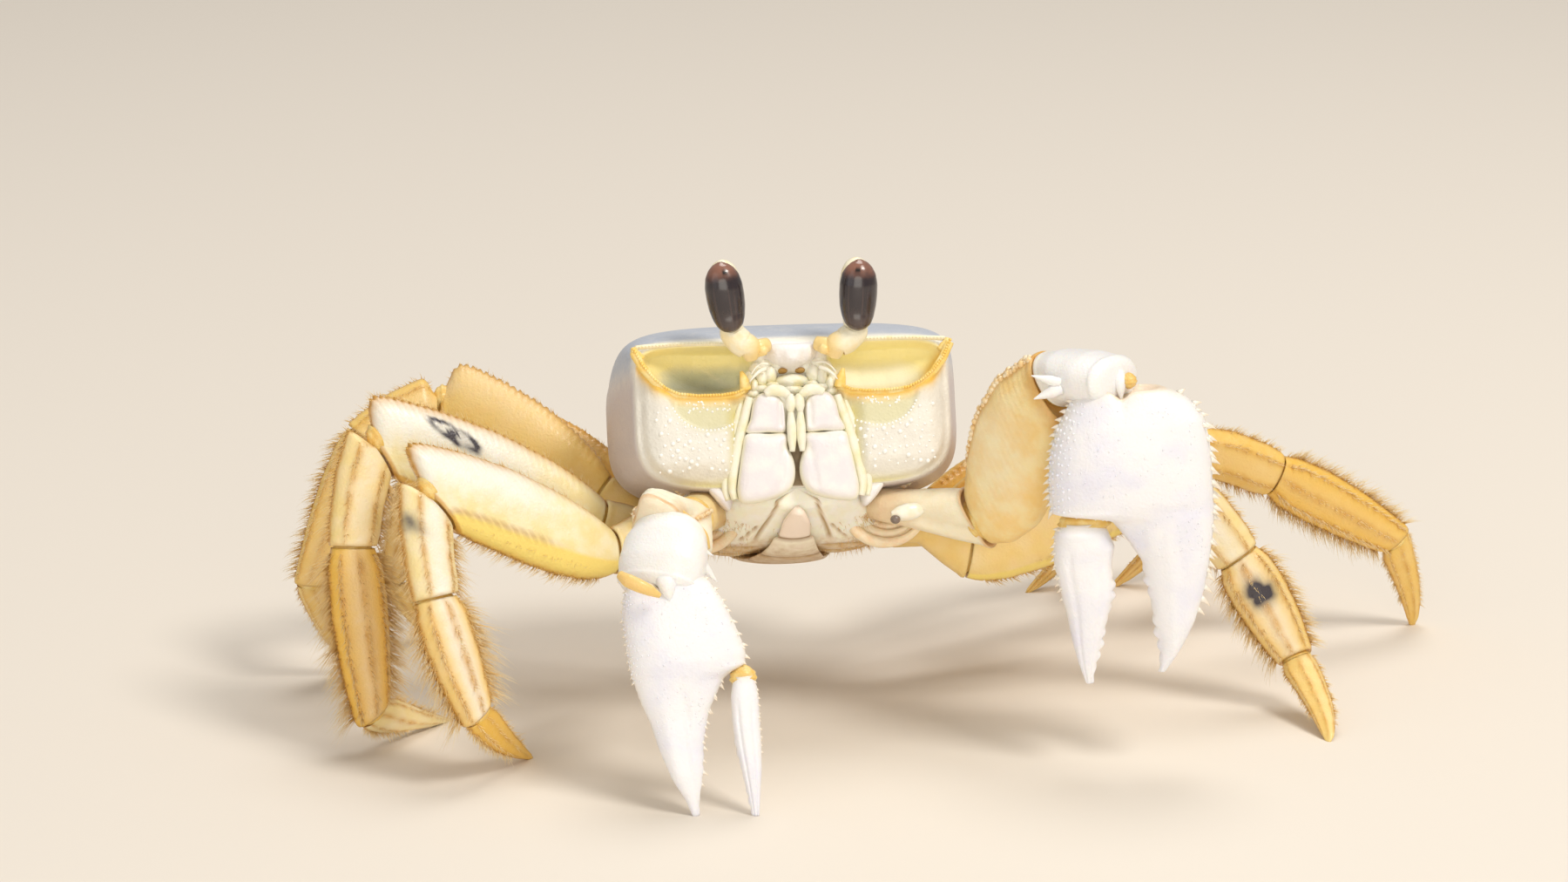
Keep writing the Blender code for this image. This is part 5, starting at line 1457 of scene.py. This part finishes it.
FINGER_TEETH = {"minor": 0.15, "major": 0.5}  # height of the blunt teeth where the fingers meet


def claw_rings(start, along, stretch, rows, count, sides, floor, relief, soft):
    """Rings of a hand or finger; turn 0 is its outer edge, 90 degrees its front face, 180 its inner edge."""
    across = square_to(HAND_ACROSS, along)
    thick = np.cross(along, across)
    reach = rows[-1][0]
    t = np.linspace(0, reach, count)
    inner, outer, deep = eased(rows, t, soft)
    middle, half = (inner + outer) / 2, (outer - inner) / 2
    turn = around(sides)
    a = half[:, None] * squared(np.cos(turn), CLAW_SQUARE)[None]
    b = (deep / 2)[:, None] * squared(np.sin(turn), CLAW_SQUARE)[None]
    out, slide = relief(*np.meshgrid(t, turn, indexing="ij"), middle[:, None] + a)
    a, b = swollen(a, b, out)
    rings = (start + along * ((t * stretch)[:, None] + slide)[..., None]
             + across * (middle[:, None] + a)[..., None] + thick * b[..., None])
    if floor:
        rings[..., 2] = np.maximum(rings[..., 2], 0.0)
        rings[-1, :, 2] = 0.0
    return rings


def bump_round(turn, place, width):
    """Bump at a turn that may be the one where the rings start and end."""
    return bell(turn - place, width) + bell(turn - place - 2 * np.pi, width)


def hand_relief(kind):
    major = kind == "major"

    def relief(t, turn, across):
        notch_at = 0.6 if major else 0.3
        near = ramp(4.5 - t, 0.0, 4.5)
        slide = ((0.9 if major else 1.3) * bell(across - notch_at, 0.9) * near
                 - 0.35 * ramp(4.0 - t, 0, 4) * ramp(notch_at - across, 0.5, 3.0))
        lip_at = LIP_AT[kind]
        lip_side = ramp(-across, 0.5, 2.0) if major else ramp(across, 5.6, 7.0)
        out = 0.25 * bell(t - lip_at + 0.5, 0.45) * lip_side
        groove = -0.22 * bell(across - (2.2 if major else 1.0), 0.5) * ramp(t, lip_at - 1, lip_at + 4)
        ridge = 0.14 * bell(across - (5.6 if major else -1.6), 0.8) * ramp(t, lip_at, lip_at + 5)
        teeth = bump_round(turn, np.pi if major else 0.0, 0.34)
        height = FINGER_TEETH[kind] * ramp(t, 21.0 if major else 15.6, 24.0 if major else 18.6)
        wave = np.abs(np.sin(t * 1.9)) * (0.6 + 0.4 * np.sin(t * 0.83 + 1.0))
        out = out + (groove + ridge) * np.abs(np.sin(turn)) + teeth * height * wave
        edges = bump_round(turn, 0.0, 0.2) + bump_round(turn, np.pi, 0.2)
        out = out + 0.07 * edges * tooth(t, 1.0, 0.95) * ramp(lip_at + 6 - t, 0, 4)
        return out, slide
    return relief


def finger_relief(kind):
    major = kind == "major"

    def relief(t, turn, across):
        height = FINGER_TEETH[kind] * ramp(t, 5.0, 8.0)
        wave = np.abs(np.sin(t * 2.1 + 0.5)) * (0.6 + 0.4 * np.sin(t * 0.9))
        teeth = bump_round(turn, 0.0 if major else np.pi, 0.34)
        flute = -0.16 * sum(bell(turn - place, 0.16) for place in (1.1, 2.05, 4.23, 5.18))
        outer = bump_round(turn, np.pi if major else 0.0, 0.25)
        out = (teeth * height * wave + flute * ramp(t, 2.0, 5.0)
               + 0.08 * outer * tooth(t, 1.0, 0.9) * ramp(11 - t, 0, 4))
        return out, np.zeros_like(t)
    return relief


claw_finish = finish("claw_shell", (0.89, 0.885, 0.91), ((0.80, 0.80, 0.90), 5.0, 0.4, 0.75),
                     (("cream", (0.90, 0.84, 0.74), 0.35), ("seam", (0.80, 0.56, 0.30), 0.1)),
                     ((0.35, 0.07), (1.8, 0.06)), rough=0.36, gloss=0.22, glow=0.1)
claw_spine_finish = finish("claw_spines", (0.90, 0.87, 0.80), layers=(("tip", (0.88, 0.74, 0.56), 0.0),),
                           rough=0.3, gloss=0.4)
claw_skins, pegs = [], []
granules, granule_sizes, granule_ways = [], [], []
hooks, hook_ways, hook_sizes, hook_lies = [], [], [], []
for kind, side in (("minor", "right"), ("major", "left")):
    major = kind == "major"
    heading, pitch = HAND_AIM[kind]
    rows = HAND_ROWS[kind]
    along = aim(side, heading, pitch)
    wrist = claw_wrists[kind] + along * WRIST_CLEARANCE[kind]
    across = square_to(HAND_ACROSS, along)
    thick = np.cross(along, across)
    stretch = wrist[2] / -along[2] / rows[-1][0] if not major else 1.0
    hand = claw_rings(wrist, along, stretch, rows, HAND_STEPS, HAND_SIDES, not major, hand_relief(kind), 0.9)
    down, over = FINGER_START[kind]
    hinge = wrist + along * down + across * over
    lean = math.radians(FINGER_LEAN[kind])
    finger_way = unit(along * math.cos(lean) + across * math.sin(lean))
    rows = FINGER_ROWS[kind]
    stretch = hinge[2] / -finger_way[2] / rows[-1][0] if not major else 1.0
    finger = claw_rings(hinge, finger_way, stretch, rows, FINGER_STEPS, FINGER_SIDES, not major,
                        finger_relief(kind), 0.5)
    for part, rings, way in (("hand", hand, along), ("finger", finger, finger_way)):
        t, turn = ring_grid(*rings.shape[:2])
        edges = bump_round(turn, 0.0, 0.4) + bump_round(turn, np.pi, 0.4)
        cream = np.clip(0.5 * edges * ramp(0.75 - t, 0, 0.3) + 0.6 * ramp(0.06 - t, 0, 0.05), 0, 1)
        marks = {"cream": cream, "seam": ramp(0.012 - t, 0, 0.01) * 0.5}
        make_piece(f"shell_{kind}_{part}", segment_shell(rings, way, marks, far=False), claw_finish,
                   (f"{kind}_claw_{part}",))
    # soft skin at the wrist and round the root of the movable finger
    claw_skins.append(joint_ball(claw_wrists[kind] + across * (1.7 if major else -2.4) + thick * 0.5
                                 - along * 0.5, along, 1.0 if major else 1.3, 1.2, across, 1.0))
    peg = claw_wrists[kind] + across * (0.6 if major else 1.2) + thick * (1.3 if major else 3.0)
    stout = np.array((1.2, 1.3, 0.85, 0.12)) * (0.6 if major else 1.0)
    path = (peg - along * 1.6 - thick * 1.2, peg - along * 0.5 - thick * 0.2, peg + along * 0.6,
            peg + along * 1.7)
    pegs.append(marked(rod(path, stout, 0.7, count=24, sides=24), "white", 1.0))
    claw_skins.append(joint_ball(hinge + finger_way * 0.2, finger_way,
                                 3.3 if major else 1.7, 2.3 if major else 1.5, across, 1.6))
    # granules in rows beside the inner edge, fewer over the rest of the palm
    reach = HAND_ROWS[kind][-1][0]
    palm = PALM[kind]
    for k, place in enumerate(GRANULE_TURNS):
        number = int(palm / (0.62 + 0.10 * k))
        at = (np.linspace(1.6, palm - 0.6, number) + rng.normal(0, 0.12, number)) / reach
        grains, normal = on_rings(hand, at, np.radians(place + rng.normal(0, 1.0, number)))
        granules.append(grains)
        granule_ways.append(normal)
        granule_sizes.append(rng.uniform(0.10, 0.24, number) * (1.25 - 0.08 * k) * (1.0 if major else 0.6))
    number = LOOSE_GRANULES[kind]
    at = rng.uniform(1.5, palm + 6, number) / reach
    place = np.radians(np.concatenate([rng.uniform(35, 150, number // 2),
                                       rng.uniform(210, 325, number - number // 2)]))
    grains, normal = on_rings(hand, at, place)
    granules.append(grains)
    granule_ways.append(normal)
    granule_sizes.append(rng.uniform(0.06, 0.13, number))
    # hooked spines down both edges of the palm and the outer edge of the movable finger
    rows_of_hooks = (  # rings, way, length, turn, start, end, step and size in mm
        (hand, along, reach, 180.0, 1.4, palm - 0.3, 0.85, 0.75),
        (hand, along, reach, 190.0, 2.0, palm - 0.5, 1.15, 0.40),
        (hand, along, reach, 0.0, 1.0, palm + 13.0, 1.35, 1.1),
        (hand, along, reach, 12.0, 3.0, palm + 8.0, 1.6, 0.75),
        (finger, finger_way, FINGER_ROWS[kind][-1][0], 180.0 if major else 0.0, 0.8, 9.5, 0.8, 0.5),
        (finger, finger_way, FINGER_ROWS[kind][-1][0], 165.0 if major else 15.0, 0.8, 8.0, 1.1, 0.4),
    )
    for rings, way, length, place, low, high, step, size in rows_of_hooks:
        number = int((high - low) / step)
        at = (np.linspace(low, high, number) + rng.normal(0, 0.06, number)) / length
        grains, normal = on_rings(rings, at, np.radians(place + rng.normal(0, 2.0, number)))
        hooks.append(grains - normal * 0.08)
        hook_ways.append(normal + way * 0.25)
        hook_lies.append(np.tile(way, (number, 1)))
        hook_sizes.append(size * rng.uniform(0.75, 1.15, number) * (1.0 if major else 0.45))
make_piece("claw_joint_skins", join_shells(claw_skins), skin_finish)
make_piece("wrist_pegs", join_shells(pegs), arm_finish)
granules, granule_ways, granule_sizes = (np.concatenate(granules), np.concatenate(granule_ways),
                                         np.concatenate(granule_sizes))
sow("claw_granules", "bead", granules, granule_ways, granule_sizes, granule_sizes * 0.8, claw_finish)

# Wrist spines: two strong ones at the inner corner of the great claw's wrist, one at the lesser claw's.
THORNS = (  # root and tip from the wrist, girth
    ("major", (-7.6, 0.6, 0.6), (-10.2, 0.4, 1.4), 0.62),
    ("major", (-7.4, 0.6, -0.7), (-9.9, 0.2, -1.5), 0.80), ("minor", (5.0, 1.0, 2.9), (7.2, 0.6, 0.3), 0.85),
    ("minor", (5.4, 1.0, 4.4), (6.7, 0.8, 3.6), 0.4),
)
thorns = []
for kind, root, tip, girth in THORNS:
    root, tip = claw_wrists[kind] + root, claw_wrists[kind] + tip
    path = (root - 0.35 * (tip - root), root, (root + tip) / 2, tip)
    thorns.append(marked(rod(path, (girth, girth, girth * 0.55, 0.06), count=20, sides=16), "white", 1.0))
make_piece("wrist_thorns", join_shells(thorns), arm_finish)
hooks, hook_ways, hook_sizes, hook_lies = (np.concatenate(v) for v
                                           in (hooks, hook_ways, hook_sizes, hook_lies))
sow("claw_spines", "spine", hooks, units(hook_ways), 0.13 + hook_sizes * 0.34, hook_sizes + 0.1,
    claw_spine_finish, lies=hook_lies, bend=0.35)


# Bristles.  Stiff golden hairs in rows along the edges and ridges of the legs, longest on the last two
# segments, a brown fringe under the belly, and a few on the lesser claw's arm.  Each grows from the shell
# and leans to its tip.
BRISTLE_ROWS = {  # turn and spread in degrees, start and end, how many to the mm, length in mm
    "merus": ((2, 9, 0.06, 0.99, 8, 0.75), (180, 10, 0.10, 0.97, 13, 1.25),
              *((turn, 4, start, 0.97, 3, 0.5) for turn, start in ((138, 0.35), (222, 0.2)))),
    "carpus": ((0, 12, 0.05, 0.97, 15, 1.35), (180, 14, 0.10, 0.99, 17, 1.75),
               *((turn, 6, 0.1, 0.98, 7, 0.75) for turn in RIDGE_TURNS["carpus"])),
    "propodus": ((0, 13, 0.03, 0.97, 27, 2.3), (180, 15, 0.03, 0.97, 27, 2.5), (50, 6, 0.03, 0.97, 11, 1.0),
                 (92, 5, 0.03, 0.97, 6, 0.7), (132, 7, 0.03, 0.97, 14, 1.2), (228, 7, 0.03, 0.97, 13, 1.1),
                 (268, 5, 0.03, 0.97, 6, 0.7), (310, 6, 0.03, 0.97, 11, 0.95)),
    "dactyl": ((0, 14, 0.02, 0.80, 15, 0.95), (180, 14, 0.02, 0.72, 14, 0.9),
               *((turn, 6, 0.02, 0.75, 7, 0.5) for turn in (45, 135, 225, 315)),
               *((turn, 5, 0.02, 0.7, 4, 0.4) for turn in (90, 270))),
}
BRISTLE_GIRTH = 0.052
ROOT_SINK = 0.06
BELLY_HAIRS = 3600
TILES = 8  # tiles to a side of the unwrapped skin, one for each segment


def patch_places(at, place, tile):
    """Where each bristle's patch lies on the unwrapped skin, in the tile of its segment."""
    line, column = divmod(tile, TILES)
    return np.stack([(column + 0.06 + 0.88 * at) / TILES,
                     (line + 0.06 + 0.88 * ((place / (2 * np.pi)) % 1.0)) / TILES, np.zeros(len(at))], -1)


def sow_bristles(name, fields, tone, bend):
    places, headings, girths, sizes, lies, patches, tones = fields
    sow(name, "bristle", places, headings, girths, sizes, bristle_finish, lies, patches, tones * tone,
        bend)


def grow(rings, way, length, row, tile, thicken=1.0):
    """One row of bristles on a segment: roots, ways, girths, lengths, lies, patches and tones."""
    turn, spread, low, high, density, reach = row
    number = max(2, int(length * (high - low) * density))
    at = rng.uniform(low, high, number)
    tuft = 0.75 + 0.35 * np.sin(at * length * 5.1 + turn) * np.sin(at * length * 2.3 + 1.7 * turn)
    place = np.radians(turn + rng.normal(0, spread * 0.5, number))
    roots, normal = on_rings(rings, at, place)
    side_on = np.cross(normal, way)
    headings = (normal + way * rng.uniform(0.15, 0.75, number)[:, None]
                + side_on * rng.normal(0, 0.22, number)[:, None])
    sizes = reach * tuft * rng.uniform(0.55, 1.2, number)
    girths = BRISTLE_GIRTH * thicken * rng.uniform(0.8, 1.25, number)
    lies = way + rng.normal(0, 0.2, (number, 3))
    return (roots - normal * ROOT_SINK, units(headings), girths, sizes, lies, patch_places(at, place, tile),
            rng.uniform(0, 1, number))


bristle_finish = finish("bristle", (0.88, 0.60, 0.22),
                        layers=(("tip", (1.0, 0.90, 0.60), 0.0), ("tone", (0.72, 0.43, 0.12), 0.0)),
                        rough=0.42, gloss=0.15)
tile = 0
for side in ("right", "left"):
    for pair in LEG_ROOTS:
        parcels = []
        front = side == "right" and pair < 4
        denser = (1.15 if front else 1.0) if pair < 4 else 0.7
        longer = 1.55 if front else max(LEG_SCALE[pair], 0.85)
        for part in LEG_PARTS[1:]:
            for turn, spread, low, high, density, reach in BRISTLE_ROWS[part]:
                row = (turn, spread, low, high, density * denser, reach * longer)
                parcels.append(grow(*leg_shells[side, pair, part], row, tile, thicken=0.85 if front else 1.0))
            tile += 1
        fields = [np.concatenate(v) for v in zip(*parcels)]
        ends = fields[0] + fields[1] * fields[3][:, None]
        keep = (ends[:, 2] > 0.15) & (fields[0][:, 2] > 0.15)
        sow_bristles(f"bristles_leg{pair}_{side}", [field[keep] for field in fields], 0.55, 0.28)

parcels = []
for kind, rows in (("minor", ((62, 6, 0.15, 0.98, 2.0, 0.5), (298, 7, 0.15, 0.98, 4.0, 0.75))),
                   ("major", ((18, 5, 0.1, 0.98, 2.5, 0.45), (300, 6, 0.1, 0.98, 4.0, 0.6)))):
    wrist_rows = ((90 if kind == "minor" else 270, 14, 0.2, 0.98, 2.0, 0.5), (180, 20, 0.1, 0.98, 2.0, 0.4))
    for part, part_rows in (("merus", rows), ("carpus", wrist_rows)):
        parcels += [grow(*arm_shells[kind, part], row, tile) for row in part_rows]
        tile += 1
sow_bristles("bristles_arms", [np.concatenate(v) for v in zip(*parcels)], 0.6, 0.2)

# belly fringe: short brown hairs at the edges of the breastplate and round its seams
number = BELLY_HAIRS
at = rng.uniform(0.12, 0.97, number)
place = np.radians(np.where(rng.random(number) < 0.5, 200 + rng.gamma(2.0, 9.0, number),
                            340 - rng.gamma(2.0, 9.0, number)))
roots, normal = on_rings(chest_world, at, place)
headings = normal + rng.normal(0, 0.35, (number, 3)) + np.array((0, -0.35, -0.2))
sow("bristles_belly", "bristle", roots - normal * ROOT_SINK, units(headings), 0.04,
    rng.uniform(0.4, 1.15, number), bristle_finish, (0, -0.3, -1.0),
    patch_places(at, place, tile), rng.uniform(0.3, 0.9, number), bend=0.2)
